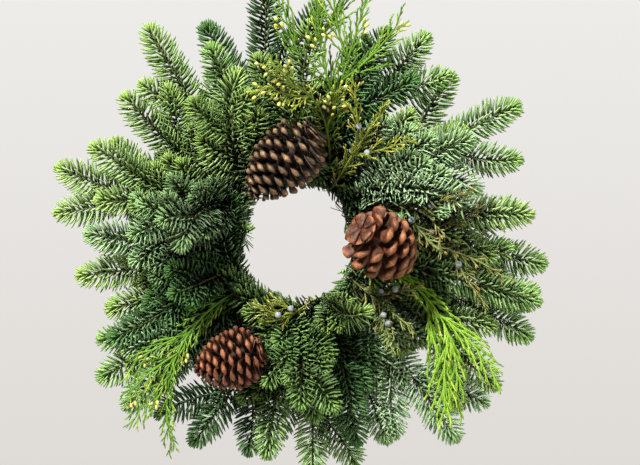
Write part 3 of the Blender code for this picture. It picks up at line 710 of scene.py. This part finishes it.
# Clock angles round the hole, how near the foliage comes to the wreath's axis there, and how raggedly
HOLE_EDGE = (
    (0, 60), (45, 64), (90, 63), (180, 66), (215, 63), (246, 65), (258, 51),
    (292, 50), (303, 58), (311, 69), (325, 70), (345, 62), (360, 60),
)
HOLE_ROUGHNESS = 5.5

# How wide and deep needles stay out of the way of cedar and juniper twigs behind them
SHOWN_WIDTH = 8.0
SHOWN_DEPTH = 2.0

# Needles are painted lighter further out and darker nearer the axis, as painted light and shade,
# and painted shade at some spots, or painted light where the number is less than 0: clock angle
# and radius of each spot, how wide it is, how much darker
AXIS_DISTANCES = (60.0, 150.0, 260.0)
AXIS_PAINTED_LIGHTS = (-0.12, -0.04, 0.16)
PAINTED_SHADE_SPOTS = (
    (256, 110, 30, 0.5), (228, 112, 30, 0.4), (288, 104, 26, 0.45), (14, 102, 28, 0.6),
    (352, 285, 36, 0.85), (318, 205, 44, 0.35), (270, 150, 30, 0.2), (84, 200, 34, -0.3),
    (135, 165, 30, -0.45), (45, 115, 26, -0.25), (314, 114, 24, -0.3), (182, 168, 26, 0.25),
    (276, 72, 18, -0.3), (172, 150, 30, 0.35), (138, 120, 26, 0.4), (196, 178, 26, 0.3),
    (60, 128, 34, -0.35), (318, 122, 26, -0.35), (45, 175, 30, -0.15),
)


def cone_line(cone):
    """The middle of a cone, and its axis towards the tip."""
    return out_from_centre(*cone.centre), unit(np.array(cone.axis))


def in_cones(points):
    """True where a point is within a cone, so that no needle sticks in one."""
    inside = np.zeros(len(points), bool)
    for cone in CONES:
        centre, axis = cone_line(cone)
        off = points - centre
        along = off @ axis
        share = np.clip(along / cone.length + 0.5, 0.0, 1.0)
        girth = cone.width / 2 * cone_girths(share) * 0.97
        apart = norms(off - along[:, None] * axis)
        inside |= (apart < girth) & (abs(along) < cone.length / 2)
    return inside


def hiding(points, twigs):
    """True where a point stands in front of a twig that should show."""
    hidden = np.zeros(len(points), bool)
    for spot in twigs:
        off = points - spot
        hidden |= (abs(off[:, 0]) + abs(off[:, 2]) < SHOWN_WIDTH) & (off[:, 1] < SHOWN_DEPTH)
    return hidden


def clocks_of(points):
    off = points - RING_CENTRE
    return np.degrees(np.arctan2(off[:, 0], off[:, 2])) % 360.0


# Painted shade at each spot, and painted light where a spot's number is less than 0
def painted_spot_shade(points):
    shade = np.zeros(len(points))
    for clock, radius, width, darker in PAINTED_SHADE_SPOTS:
        off = (points - out_from_centre(clock, radius, 0.0))[:, [0, 2]]
        shade += darker * np.exp(-((off / width) ** 2).sum(axis=1) / 2)
    return shade


def needle_plan(start, whole, rng):
    """For every needle: place, angle round the twig, two leans, share of length, painted light."""
    plans = []
    for number, rank in enumerate(RANKS):
        for side in (-1, 1):
            first = start + rank.spacing * (0.5 + 0.25 * side) + RANK_OFFSET * number
            places = np.arange(first, whole - 1.0, rank.spacing)
            count = len(places)
            plan = (
                places + rng.uniform(-0.14, 0.14, count) * rank.spacing,
                side * (rank.around + rng.normal(0.0, 4.0, count)),
                rank.foot_lean + rng.normal(0.0, 2.5, count),
                rank.point_lean + rng.normal(0.0, 3.5, count),
                rank.share,
                rank.light,
            )
            plans.append(plan)
    brush = (
        whole - rng.uniform(0.0, 2.0, BRUSH),
        np.arange(BRUSH) * GOLDEN_TURN,
        np.linspace(12.0, 58.0, BRUSH),
        np.linspace(6.0, 42.0, BRUSH),
        0.9,
        0.1,
    )
    plans = [np.stack(np.broadcast_arrays(*plan)) for plan in (*plans, brush)]
    return np.concatenate(plans, axis=1)


def add_needles(shape, twig_points, start, rng, shown):
    """Needles in ranks on both sides of a twig, and a brush of shorter ones round its end."""
    whole = lengths_along(twig_points)[-1]
    if whole - start < SHORTEST_TWIG:
        return
    where, arounds, feet, points, shares, lights = needle_plan(start, whole, rng)
    where = np.clip(where, start, whole)

    here, headings, faces, rights = twig_frames(twig_points, where)
    to_tip = np.clip((whole - where) / END_STRETCH, 0.0, 1.0)
    from_root = np.clip((where - start) / ROOT_STRETCH, 0.0, 1.0)
    feet = feet * (0.62 + 0.38 * to_tip)
    points = points * (0.55 + 0.45 * to_tip)
    reach = NEEDLE_LENGTH * shares * (0.62 + 0.38 * to_tip**0.7) * (0.75 + 0.25 * from_root)
    reach = (reach * rng.uniform(0.92, 1.06, len(where)))[:, None, None]
    off = turned(faces, rights, arounds)
    first = turned(headings, off, feet)
    last = turned(headings, off, points) + faces * 0.12
    last = units(last + rng.normal(0.0, 0.035, last.shape))
    f = NEEDLE_STATIONS[:, None]
    paths = here[:, None] + reach * (f * first[:, None] + f**2 / 2 * (last - first)[:, None])
    paths[:, :, 1] = np.minimum(paths[:, :, 1], WALL)

    ends, middles = paths[:, -1], paths[:, 1]
    radii = to_axis(ends)
    edge = np.interp(clocks_of(ends), *zip(*HOLE_EDGE)) + rng.normal(0.0, HOLE_ROUGHNESS, len(ends))
    keep = ~(in_cones(ends) | in_cones(middles) | (radii < edge))
    keep &= ~(hiding(ends, shown) | hiding(middles, shown))
    paths, off, faces, count = paths[keep], off[keep], faces[keep], int(keep.sum())
    lights = lights[keep] + np.interp(radii[keep], AXIS_DISTANCES, AXIS_PAINTED_LIGHTS)
    lights = lights - painted_spot_shade(paths[:, 1])
    ups = units(faces + 0.35 * off + rng.normal(0.0, 0.22, faces.shape))
    girths = NEEDLE_GIRTHS * rng.uniform(0.9, 1.1, (count, 1))
    # vary is a random tone for each needle plus its painted light and shade
    vary = np.clip(rng.normal(0.46, 0.2, count) + lights, 0.0, 1.0)
    young = np.clip(0.55 * (1 - to_tip[keep]) + rng.normal(0.0, 0.08, count), 0.0, 1.0)
    widths, heights = girths * NEEDLE_WIDTH, girths * NEEDLE_HEIGHT
    shape.loft(paths, ups[:, None], widths, heights, NEEDLE_SECTION, 0, vary, young)


# Side twigs that only the looks have: the shares of the free length where pairs of them fork off,
# how far they stay from the solids' own, and how near to the rim they get
FINER_ROOTS = (0.24, 0.36, 0.50, 0.66, 0.80)
FINER_RADII = (1.3, 0.9)
FINER_LENGTH = 0.44
FINER_SHORTEST = 22.0
FORK_GAP = 16.0
FINER_REACH = 182.0
FINER_FADE = 40.0

# Short twigs that stay along the ring: where they start, their length, and for those at the back
# the radii at their bend and their tip
RING_TWIG_ROOT = 6.0
RING_TWIG_LEAD = 16.0
RING_TWIG_LENGTH = 52.0
BACK_DEPTH = 6.0
BACK_TURNS = ((96.0, 114.0), (112.0, 140.0))


def side_twigs(main, butt, twigs, rng):
    travelled = lengths_along(main)
    whole = travelled[-1]
    free = whole - butt
    taken = [(travelled[np.argmin(norms(main - twig.points[0]))], twig.side) for twig in twigs[1:]]
    found = []
    for share, side in itertools.product(FINER_ROOTS, (-1, 1)):
        place = butt + share * free
        if any(abs(place - fork) < FORK_GAP and side == other for fork, other in taken):
            continue
        length = free * FINER_LENGTH * (1.0 - share) ** 0.75 * rng.uniform(0.8, 1.15)
        reach = to_axis(sampled(main, place + length * 0.75))
        length *= np.clip((FINER_REACH - reach) / FINER_FADE + 1.0, 0.0, 1.0)
        if length < FINER_SHORTEST:
            continue
        here = place + rng.uniform(-6.0, 6.0)
        rise = rng.uniform(-0.16, 0.22) * length
        route = side_route(main, here / whole, side, length, rise, SPECIES["fir"])
        found.append(Twig(route, side, *FINER_RADII))
    return found


def ring_twigs(spray, root, rng):
    """One in front that rises over the ring, or two at the back."""
    depth = max(14.0, 16.0 - root[1])
    turns = ((88.0, 0.7 * depth, 97.0, depth + 8.0),)
    if spray.lane == "back":
        turns = ((bend, BACK_DEPTH, tip, BACK_DEPTH) for bend, tip in BACK_TURNS)
    found = []
    for bend_radius, bend_depth, tip_radius, tip_depth in turns:
        clock = lane_clock(spray) + RING_TWIG_LEAD
        bend = out_from_centre(clock, bend_radius, bend_depth)
        clock += arc_degrees(RING_TWIG_LENGTH)
        tip = out_from_centre(clock, tip_radius + rng.uniform(-6.0, 6.0), tip_depth)
        found.append(Twig(bezier((root, bend, tip), SIDE_SAMPLES), 1, *FINER_RADII))
    return found


def finer_twigs(spray, butt, twigs, rng):
    """More twigs, so that neighbouring sprays close up, where they clear the cones and the wall."""
    main = twigs[0].points
    found = side_twigs(main, butt, twigs, rng)
    found += ring_twigs(spray, sampled(main, butt + RING_TWIG_ROOT), rng)
    return [
        twig
        for twig in found
        if not in_cones(twig.points).any() and twig.points[:, 1].max() < WALL - 2.0
    ]


def fir_piece(spray, butt, twigs, rng, looks, shown):
    shape = Shape()
    for number, twig in enumerate(twigs + finer_twigs(spray, butt, twigs, rng)):
        start = butt + 4.0 if number == 0 else 2.0
        add_stem(shape, twig.points, twig.root_radius, twig.tip_radius, 1)
        add_needles(shape, twig.points, start, rng, shown)
    return shape.made(spray.name.replace("spray", "boughs"), [looks[spray.colour], looks["fir_bark"]])


# Look, length and spacing of strands, their lean and droop, length and spacing of their twiglets,
# share of twiglets with coloured ends, clusters of buds, whether flat, thickness
Lace = namedtuple("Lace", "look strand gap lean droop twiglet twiglet_gap tipped buds flat girth")
CEDAR_LACE = {
    "cedar_spray_01": Lace("cedar_green", 56.0, 9.0, 19.0, 0.03, 12.0, 6.5, 0.1, 1, True, 1.05),
    "cedar_spray_02": Lace("cedar_green", 56.0, 9.0, 20.0, 0.03, 12.0, 6.5, 0.1, 1, True, 1.05),
    "cedar_spray_03": Lace("cedar_gold", 30.0, 6.5, 34.0, 0.10, 11.0, 5.0, 0.4, 4, True, 1.1),
    "cedar_spray_04": Lace("cedar_lime", 66.0, 12.0, 17.0, 0.16, 15.0, 8.5, 0.2, 0, True, 1.35),
    "cedar_spray_05": Lace("cedar_green", 44.0, 8.5, 27.0, 0.16, 13.0, 6.5, 0.3, 1, True, 1.15),
}
JUNIPER_LACE = Lace("juniper", 32.0, 6.4, 32.0, 0.0, 12.0, 6.5, 0.4, 0, False, 1.05)
GOLDEN_SPRIGS = ("juniper_sprig_01", "juniper_sprig_05")
LIME_NARROWING = 0.62
LACE_TIP_RADIUS = 0.8
BUDS_TOGETHER = 4
BUD_RADIUS = 2.1

# How strands grow from a twig, and twiglets from a strand: bare length at the foot, swing out of
# the plane if flat or round, how much shorter at the end, random sizes and lean, share of the
# droop, points, girth, girth of the end
Growth = namedtuple("Growth", "bare flat round fade sizes lean droop points girth knob")
STRANDS = Growth(0.0, 0.22, 1.1, 0.6, (0.8, 1.15), 4.0, 1.0, 7, 1.8, 0.8)
TWIGLETS = Growth(4.0, 0.25, 1.0, 0.5, (0.75, 1.2), 0.0, 0.4, 4, 1.45, 1.0)
CURL = 0.3


def grown(points, start, length, gap, rng, lace, growth):
    """Paths that leave a twig to left and right in turn, bend back along it and droop."""
    whole = lengths_along(points)[-1]
    places = np.arange(start + growth.bare, whole - 2.0, gap)
    f = np.linspace(0.0, 1.0, growth.points)[:, None]
    paths = []
    side = 1
    for place, here, heading, face, right in zip(places, *twig_frames(points, places)):
        side = -side
        swing = rng.normal(0.0, growth.flat if lace.flat else growth.round)
        across = turned(right * side, face, math.degrees(swing))
        fade = 1.0 - growth.fade * (place - start) / max(whole - start, 1.0)
        size = length * fade * rng.uniform(*growth.sizes)
        lean = lace.lean + (rng.normal(0.0, growth.lean) if growth.lean else 0.0)
        away = turned(heading, across, lean)
        later = unit(away * (1 - CURL) + heading * CURL)
        path = here + size * (f * away + f**2 / 2 * (later - away))
        path[:, 2] -= lace.droop * growth.droop * f[:, 0] ** 2 * size
        paths.append(path)
    return paths


def add_strands(shape, paths, rng, lace, growth):
    """Lofts the paths that are clear of the cones, and gives them back."""
    paths = np.array(paths)
    paths[:, :, 1] = np.minimum(paths[:, :, 1], WALL)
    paths = paths[~(in_cones(paths[:, -1]) | in_cones(paths[:, 1]))]
    count = len(paths)
    girths = np.linspace(1.0, growth.knob, growth.points - 1) * rng.uniform(0.85, 1.15, (count, 1))
    girths = girths * growth.girth * lace.girth
    vary = np.clip(rng.normal(0.5, 0.22, count), 0.0, 1.0)
    young = np.where(rng.uniform(size=count) < lace.tipped, 1.0, 0.0)
    shape.loft(paths, FRONT + 0.01, girths, girths, STRAND_SECTION, 0, vary, young)
    return paths


def add_buds(shape, twiglets, rng, clusters):
    """Plump buds, in clusters, at the ends of neighbouring twiglets."""
    tips = twiglets[:, -1]
    for centre in tips[rng.permutation(len(tips))[:clusters]]:
        nearest = np.argsort(norms(tips - centre))[:BUDS_TOGETHER]
        for path in twiglets[nearest]:
            heading = unit(path[-1] - path[-2])
            add_ball(shape, path[-1], BUD_RADIUS * rng.uniform(0.75, 1.15), 1, rng, 5, heading, 1.6)


def add_lace(shape, points, start, rng, lace):
    """Strands of scale leaves along a twig, their twiglets, and buds on some of those."""
    strands = grown(points, start, lace.strand, lace.gap, rng, lace, STRANDS)
    twiglets = []
    for strand in strands:
        twiglets += grown(strand, 0.0, lace.twiglet, lace.twiglet_gap, rng, lace, TWIGLETS)
    if strands:
        add_strands(shape, strands, rng, lace, STRANDS)
    if twiglets:
        add_buds(shape, add_strands(shape, twiglets, rng, lace, TWIGLETS), rng, lace.buds)


def narrowed(twig, main, share):
    """A side twig drawn in towards the line of its main twig."""
    heading = unit(main.points[-1] - twig.points[0])
    off = twig.points - twig.points[0]
    along = (off @ heading)[:, None] * heading
    return twig._replace(points=twig.points[0] + along + (off - along) * share)


def lace_piece(spray, butt, twigs, rng, looks):
    shape = Shape()
    lace = CEDAR_LACE.get(spray.name, JUNIPER_LACE)
    if spray.name in GOLDEN_SPRIGS:
        lace = lace._replace(look="juniper_gold")
    if lace.look == "cedar_lime":
        twigs = twigs[:1] + [narrowed(twig, twigs[0], LIME_NARROWING) for twig in twigs[1:]]
    for number, twig in enumerate(twigs):
        start = butt + 10.0 if number == 0 else 4.0
        add_stem(shape, twig.points, twig.root_radius, LACE_TIP_RADIUS, 0)
        add_lace(shape, twig.points, start, rng, lace)
    berried = spray.kind == "juniper"
    if berried:
        for twig in twigs[1:]:
            add_berries(shape, twig, rng, 2 if spray.name in MORE_BERRIES else 1)
    name = spray.name.replace("spray", "lace").replace("sprig", "sprays")
    return shape.made(name, [looks[lace.look], looks["berry" if berried else "bud"]])


# The points of a side twig that have a berry, and how far to the side it is
BERRY_PLACES = ((3, 0.0), (6, 1.6))
MORE_BERRIES = ("juniper_sprig_04",)
BERRY_RADIUS = 4.3
BERRY_SEAT = 2.64


def add_berries(shape, twig, rng, count):
    """Bloomy berries on the front of a side twig, near its root, as in the solid."""
    for point, side in BERRY_PLACES[:count]:
        centre = twig.points[point] + FRONT * BERRY_SEAT + np.array([side, 0.0, 0.5 * side]) * 2.5
        add_ball(shape, centre, BERRY_RADIUS * rng.uniform(0.85, 1.05), 1, rng)


def add_ball(shape, centre, radius, look, rng, rings=9, axis=None, longer=1.0):
    turns = np.linspace(0.06, math.pi, rings + 1)
    axis = unit(FRONT + rng.normal(0.0, 0.5, 3)) if axis is None else axis
    path = centre + axis * (longer * radius * -np.cos(turns))[:, None]
    girth = 2 * radius * np.sin(turns[:-1])
    up = unit(np.cross(axis, (0.3, 0.5, 0.8)))
    shape.tube(path, up, girth, WIRE_SECTION, look, rng.uniform())


# Cones

# The share of a cone's length, from its base, where it is fullest
FULLEST = 0.38


def cone_girths(share):
    """The girth at a share of the length, as a share of the fullest."""
    low = 0.80 + 0.20 * np.sin(np.minimum(share, FULLEST) / FULLEST * math.pi / 2)
    fall = np.cos(np.clip((share - FULLEST) / (1.0 - FULLEST), 0.0, 1.0) * math.pi / 2)
    return np.where(share < FULLEST, low, np.maximum(0.20, np.maximum(fall, 0.0) ** 0.62))


# Stations along a scale, with its girths there: a thin blade that thickens into a blunt lozenge
SCALE_STATIONS = np.array([0.0, 0.3, 0.55, 0.76, 0.89, 0.96, 1.0, 1.03])
SCALE_WIDTHS = np.array([0.3, 0.5, 0.78, 0.96, 1.0, 0.84, 0.46])
SCALE_HEIGHTS = np.array([0.4, 0.36, 0.42, 0.66, 1.0, 0.96, 0.56])
SCALE_SECTION = np.array(
    [(-0.5, 0.0), (-0.27, 0.3), (0.0, 0.5), (0.27, 0.3), (0.5, 0.0)]
    + [(0.27, -0.3), (0.0, -0.46), (-0.27, -0.3)]
)
SCALE_THICKNESS = 0.42

# Scales in this first share of the length close the base, with thin plates over their feet
BASE_SHARE = 0.13
BASE_PLATES = 8
PLATE_REACH = 0.24
PLATE_LAYERS = 5.5
PLATE_DROP = 1.5
PLATE_SEAT = 0.48
PLATE_WIDTH = 0.86
PLATE_THICKNESS = 0.2

# The core that the scales stand on: its half length and girth as shares of the cone's
CORE_REACH = 0.44
CORE_GIRTH = 0.44
CORE_RINGS = 14
CORE_ENDS = (0.14, 2.9)


def add_blades(shape, cone, outs, out, rise, widths, heights, vary):
    """Scales or plates whose stations are out from the axis and rise along it."""
    centre, axis = cone_line(cone)
    paths = centre + outs[:, None] * out[..., None] + axis * rise[..., None]
    shape.loft(paths, axis, widths, heights, SCALE_SECTION, 0, vary)


def add_scales(shape, cone, outs, rng):
    """Scales that open towards the tip, each on a line from the core to its place outside."""
    share = ((np.arange(cone.scales) + 0.5) / cone.scales) ** 0.93
    base = np.clip(1.0 - share / BASE_SHARE, 0.0, 1.0)
    full = cone.width / 2 * cone_girths(share) * rng.uniform(0.96, 1.03, cone.scales)
    reach = full * (1.0 - 0.72 * base)
    lean = cone.lean + 52.0 * share**1.8 - 50.0 * base + rng.normal(0.0, 2.5, cone.scales)
    foot = np.minimum(0.16 * full, 0.3 * reach)
    ends_at = cone.length * (0.94 * (share - 0.5) - 0.02 * base)
    feet_at = ends_at - np.tan(np.radians(lean)) * (reach - foot)
    feet_at = np.clip(feet_at, -0.42 * cone.length, 0.47 * cone.length)
    f = SCALE_STATIONS
    out = foot[:, None] + (reach - foot)[:, None] * f
    rise = feet_at[:, None] + (ends_at - feet_at)[:, None] * f + 0.22 * reach[:, None] * f * (1 - f)
    wide = np.clip(2 * math.pi * reach / 9.0, 6.0, cone.scale_width)
    widths = SCALE_WIDTHS * (wide * (1.0 + 0.5 * base))[:, None]
    heights = SCALE_HEIGHTS * (wide * SCALE_THICKNESS * (1.0 - 0.4 * base))[:, None]
    add_blades(shape, cone, outs, out, rise, widths, heights, rng.uniform(0.0, 1.0, cone.scales))


def add_base_plates(shape, cone, outs, rng):
    f = SCALE_STATIONS
    layers = PLATE_LAYERS * (np.arange(BASE_PLATES) / BASE_PLATES)[:, None]
    rise = layers - PLATE_DROP * f - PLATE_SEAT * cone.length
    widths = SCALE_WIDTHS[None] * PLATE_WIDTH * cone.scale_width
    vary = rng.uniform(0.4, 1.0, BASE_PLATES)
    out = PLATE_REACH * cone.width * f
    add_blades(shape, cone, outs[:BASE_PLATES], out, rise, widths, widths * PLATE_THICKNESS, vary)


def cone_piece(cone, looks):
    rng = np.random.default_rng(cone.scales)
    shape = Shape()
    centre, axis = cone_line(cone)
    side = unit(np.cross(axis, FRONT))
    outs = turned(side, np.cross(axis, side), np.arange(cone.scales) * GOLDEN_TURN)
    add_scales(shape, cone, outs, rng)
    add_base_plates(shape, cone, outs, rng)

    steps = np.linspace(-CORE_REACH, CORE_REACH, CORE_RINGS + 1)
    path = centre + axis * (steps * cone.length)[:, None]
    girth = cone.width * CORE_GIRTH * cone_girths(np.clip(steps[:-1] + 0.5, 0, 1))
    girth = girth * np.sin(np.linspace(*CORE_ENDS, CORE_RINGS))
    shape.tube(path, side, girth, round_section(16), 1)
    name = cone.name.replace("pine_cone", "cone_scales")
    return shape.made(name, [looks[cone.look], looks["cone_core"]])


# Wires

WIRE_STEP = 2.2


def wire_piece(name, points, radius, look):
    shape = Shape()
    whole = lengths_along(points)[-1]
    places = np.linspace(0.0, whole, max(3, int(whole / WIRE_STEP)) + 1)
    path = sampled(points, places)
    ups = np.cross(units(np.gradient(path, axis=0)), np.array([0.31, 0.87, 0.39]))[:-1]
    girth = np.full(len(path) - 1, 2 * radius)
    shape.tube(path, ups, girth, WIRE_SECTION, 0)
    return shape.made(name, [look])


def ring_piece(look):
    bpy.ops.mesh.primitive_torus_add(
        major_segments=180,
        minor_segments=14,
        major_radius=RING_RADIUS * METRES,
        minor_radius=RING_WIRE * METRES,
        location=RING_CENTRE * METRES,
        rotation=(math.pi / 2, 0.0, 0.0),
    )
    ring = bpy.context.object
    ring.name = "ring"
    ring.data.shade_smooth()
    ring.data.materials.append(look)
    return ring


def helix_points():
    steps = TURNS * TURN_POINTS * 3
    last = PITCH * (TURNS * TURN_POINTS - 1) / TURN_POINTS
    clocks = np.linspace(0.0, last, steps)
    return np.array([on_ring(clock, BINDING_RADIUS - 0.5, clock * TURNS) for clock in clocks])


def pick_points(cone):
    """A closed loop round the bound ring, and a straight run into the cone."""
    corner = 360.0 / PICK_LOOP_POINTS
    crossing_lane = 360.0 * cone.loop_clock / PITCH
    corners_on = round((PICK_LEAVES - crossing_lane) / corner - 0.5)
    crossing_step = -corners_on % PICK_LOOP_POINTS - 0.5
    loop = []
    for step in np.arange(0.0, PICK_LOOP_POINTS + 0.01, 0.25):
        lane = crossing_lane + corner * (corners_on + 0.5 + step)
        ahead = PICK_LOOP_STEP * (step - crossing_step) / PICK_LOOP_POINTS
        loop.append(on_ring(cone.loop_clock + arc_degrees(ahead), PICK_LOOP_RADIUS, lane))
    centre, axis = cone_line(cone)
    return np.array(loop + [centre - axis * cone.length * PICK_SEAT])


# How much light reaches a place: it falls off with the foliage that it passes on its way

CELL = 5.0
CORNER_AREA = 4.5
DIMMING = 0.4
FROM_BEHIND = 0.7
SLANTS = ((0, 0), (1, 0), (-1, 0), (0, 1), (0, -1), (1, 1), (-1, 1))


def light_through(matter, slant):
    """The share of light that reaches each cell on rays that move sideways by slant a layer."""
    right, up = slant
    longer = math.sqrt(1 + right**2 + up**2)
    passed = np.zeros_like(matter)
    for layer in range(1, matter.shape[1]):
        nearer = passed[:, layer - 1] + matter[:, layer - 1] * longer
        passed[:, layer] = np.roll(nearer, (-right, -up), (0, 1))
    return np.exp(-DIMMING * (passed + 0.5 * matter))


def read_grid(grid, places):
    low = np.floor(places).astype(int)
    part = places - low
    total = 0.0
    for step in itertools.product((0, 1), repeat=3):
        share = np.prod(np.where(step, part, 1.0 - part), axis=1)
        total = total + share * grid[tuple((low + step).T)]
    return total


def corners_of(piece):
    flat = np.empty(len(piece.data.vertices) * 3, np.float32)
    piece.data.vertices.foreach_get("co", flat)
    matrix = np.array(piece.matrix_world)
    return (flat.reshape(-1, 3) @ matrix[:3, :3].T + matrix[:3, 3]) / METRES


def store_openness(pieces):
    """Keeps a number from 0 to 1 at each corner: 1 where nothing stands in the light's way."""
    corners = [corners_of(piece) for piece in pieces]
    everything = np.concatenate(corners)
    low = everything.min(axis=0) - 2 * CELL
    cells = (everything - low) / CELL
    counts = np.ceil(cells.max(axis=0)).astype(int) + 3
    matter = np.bincount(np.ravel_multi_index(cells.astype(int).T, counts), minlength=counts.prod())
    matter = matter.reshape(counts) * CORNER_AREA / CELL**2
    front = sum(light_through(matter, slant) for slant in SLANTS) / len(SLANTS)
    behind = light_through(matter[:, ::-1], (0, 0))[:, ::-1]
    light = np.maximum(front, FROM_BEHIND * behind)
    for piece, places in zip(pieces, corners):
        layer = piece.data.attributes.new("open", "FLOAT", "POINT")
        values = read_grid(light, (places - low) / CELL - 0.5)
        layer.data.foreach_set("value", values.astype(np.float32))


def seated(piece, node):
    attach(piece, "root")
    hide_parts(node)
    return piece


def build_foliage(looks):
    settled = [settled_twigs(spray) for spray in SPRAYS]
    shown = np.concatenate(
        [
            twig.points[len(twig.points) // 3 :: 2]
            for spray, (_, twigs) in zip(SPRAYS, settled)
            for twig in twigs
            if spray.kind != "fir"
        ]
    )
    pieces = []
    for seed, (spray, (butt, twigs)) in enumerate(zip(SPRAYS, settled)):
        rng = np.random.default_rng(seed)
        if spray.kind == "fir":
            piece = fir_piece(spray, butt, twigs, rng, looks, shown)
        else:
            piece = lace_piece(spray, butt, twigs, rng, looks)
        pieces.append(seated(piece, spray.name))
    return pieces


def build_wreath():
    looks = {name: needle_look(name) for name in NEEDLE_COLOURS}
    looks.update((name, strand_look(name)) for name in STRAND_COLOURS)
    looks.update((name, scale_look(name)) for name in SCALE_COLOURS)
    looks["fir_bark"] = bark_look("fir_bark", (56, 44, 26), (98, 78, 46), (92, 106, 52))
    # The cone's core, painted near black: painted shade in the gaps between the scales
    looks["cone_core"] = bark_look("cone_core", (20, 11, 7), (44, 26, 16))
    looks["bud"] = bud_look()
    looks["berry"] = berry_look()
    ring_look = wire_look("ring_paint", (30, 48, 34), (96, 92, 84))
    fine_look = wire_look("fine_wire_paint", (34, 50, 36), (120, 116, 104))

    pieces = [seated(ring_piece(ring_look), "wire_ring")]
    binding = wire_piece("binding", helix_points(), BINDING_WIRE, fine_look)
    pieces.append(seated(binding, "binding_wire"))
    for number, cone in enumerate(CONES, start=1):
        pick = wire_piece(f"pick_{number}", pick_points(cone), PICK_WIRE, fine_look)
        pieces.append(seated(pick, f"cone_pick_{number}"))
        pieces.append(seated(cone_piece(cone, looks), cone.name))
    store_openness(pieces + build_foliage(looks))


# Stage

FLOOR_TONES = ((168, 165, 161), (176, 173, 169))
BACKDROP_TONES = ((223, 219, 215), (238, 236, 233))
HORIZON = 0.09
ROOM_COLOUR = (0.97, 1.0, 0.9, 1.0)
ROOM_LIGHT = 0.06
LIT_PLACE = Vector((0.0, -0.05, -0.07))

# The lights, in metres and watts: place, size, power, colour
LIGHTS = {
    "key": ((-1.3, -1.9, 2.1), 0.45, 212.0, (1.0, 0.98, 0.92)),
    "fill": ((2.1, -1.3, 0.5), 0.8, 26.0, (1.0, 1.0, 0.97)),
    "rim": ((0.3, 1.9, 1.3), 1.4, 85.0, (1.0, 1.0, 1.0)),
}


def place_camera():
    camera_data = bpy.data.cameras.new("camera")
    camera_data.sensor_width = SENSOR
    camera_data.lens = SENSOR * CAMERA_DISTANCE / IMAGE_WIDTH
    camera_data.clip_end = 60.0
    camera = new_object("camera", camera_data)
    x, z = IMAGE_CENTRE
    camera.location = Vector((x, -WREATH_DEPTH - CAMERA_DISTANCE, z)) * METRES
    camera.rotation_euler = (math.pi / 2, 0.0, 0.0)
    bpy.context.scene.camera = camera


def add_light(name, place, size, watts, colour):
    data = bpy.data.lights.new(name, "AREA")
    data.shape = "DISK"
    data.size = size
    data.energy = watts
    data.color = colour
    light = new_object(name, data)
    light.location = place
    light.rotation_euler = (LIT_PLACE - light.location).to_track_quat("-Z", "Y").to_euler()


def build_floor():
    bpy.ops.mesh.primitive_circle_add(vertices=96, radius=FLOOR_RADIUS * METRES, fill_type="NGON")
    floor = bpy.context.object
    floor.name = "floor"
    floor.location.z = FLOOR_HEIGHT * METRES
    look = Look("pale_floor", 3.0)
    look.paint(look.grain, *zip((0.3, 0.7), FLOOR_TONES))
    floor.data.materials.append(look.finish(0.8))


def build_room():
    """Faint light from all round, and a pale backdrop that only the camera sees."""
    world = bpy.data.worlds.new("studio")
    bpy.context.scene.world = world
    world.use_nodes = True
    room = Nodes(world.node_tree)
    light = room.tree.nodes["Background"]
    light.inputs["Color"].default_value = ROOM_COLOUR
    light.inputs["Strength"].default_value = ROOM_LIGHT
    where = room.node("ShaderNodeTexCoord").outputs["Generated"]
    height = room.node("ShaderNodeSeparateXYZ", {0: where}).outputs["Z"]
    limits = {"Value": height, "From Min": -HORIZON, "From Max": HORIZON}
    share = room.node("ShaderNodeMapRange", limits).outputs[0]
    seen = room.node("ShaderNodeBackground", {"Color": room.mix(share, *BACKDROP_TONES)})
    by_camera = room.node("ShaderNodeLightPath").outputs["Is Camera Ray"]
    both = {0: by_camera, 1: light.outputs[0], 2: seen.outputs[0]}
    surface = room.node("ShaderNodeMixShader", both).outputs[0]
    room.link(surface, room.tree.nodes["World Output"].inputs["Surface"])


place_camera()
build_floor()
build_room()
for light_name, row in LIGHTS.items():
    add_light(light_name, *row)
bpy.context.scene.view_settings.view_transform = "Standard"
build_wreath()
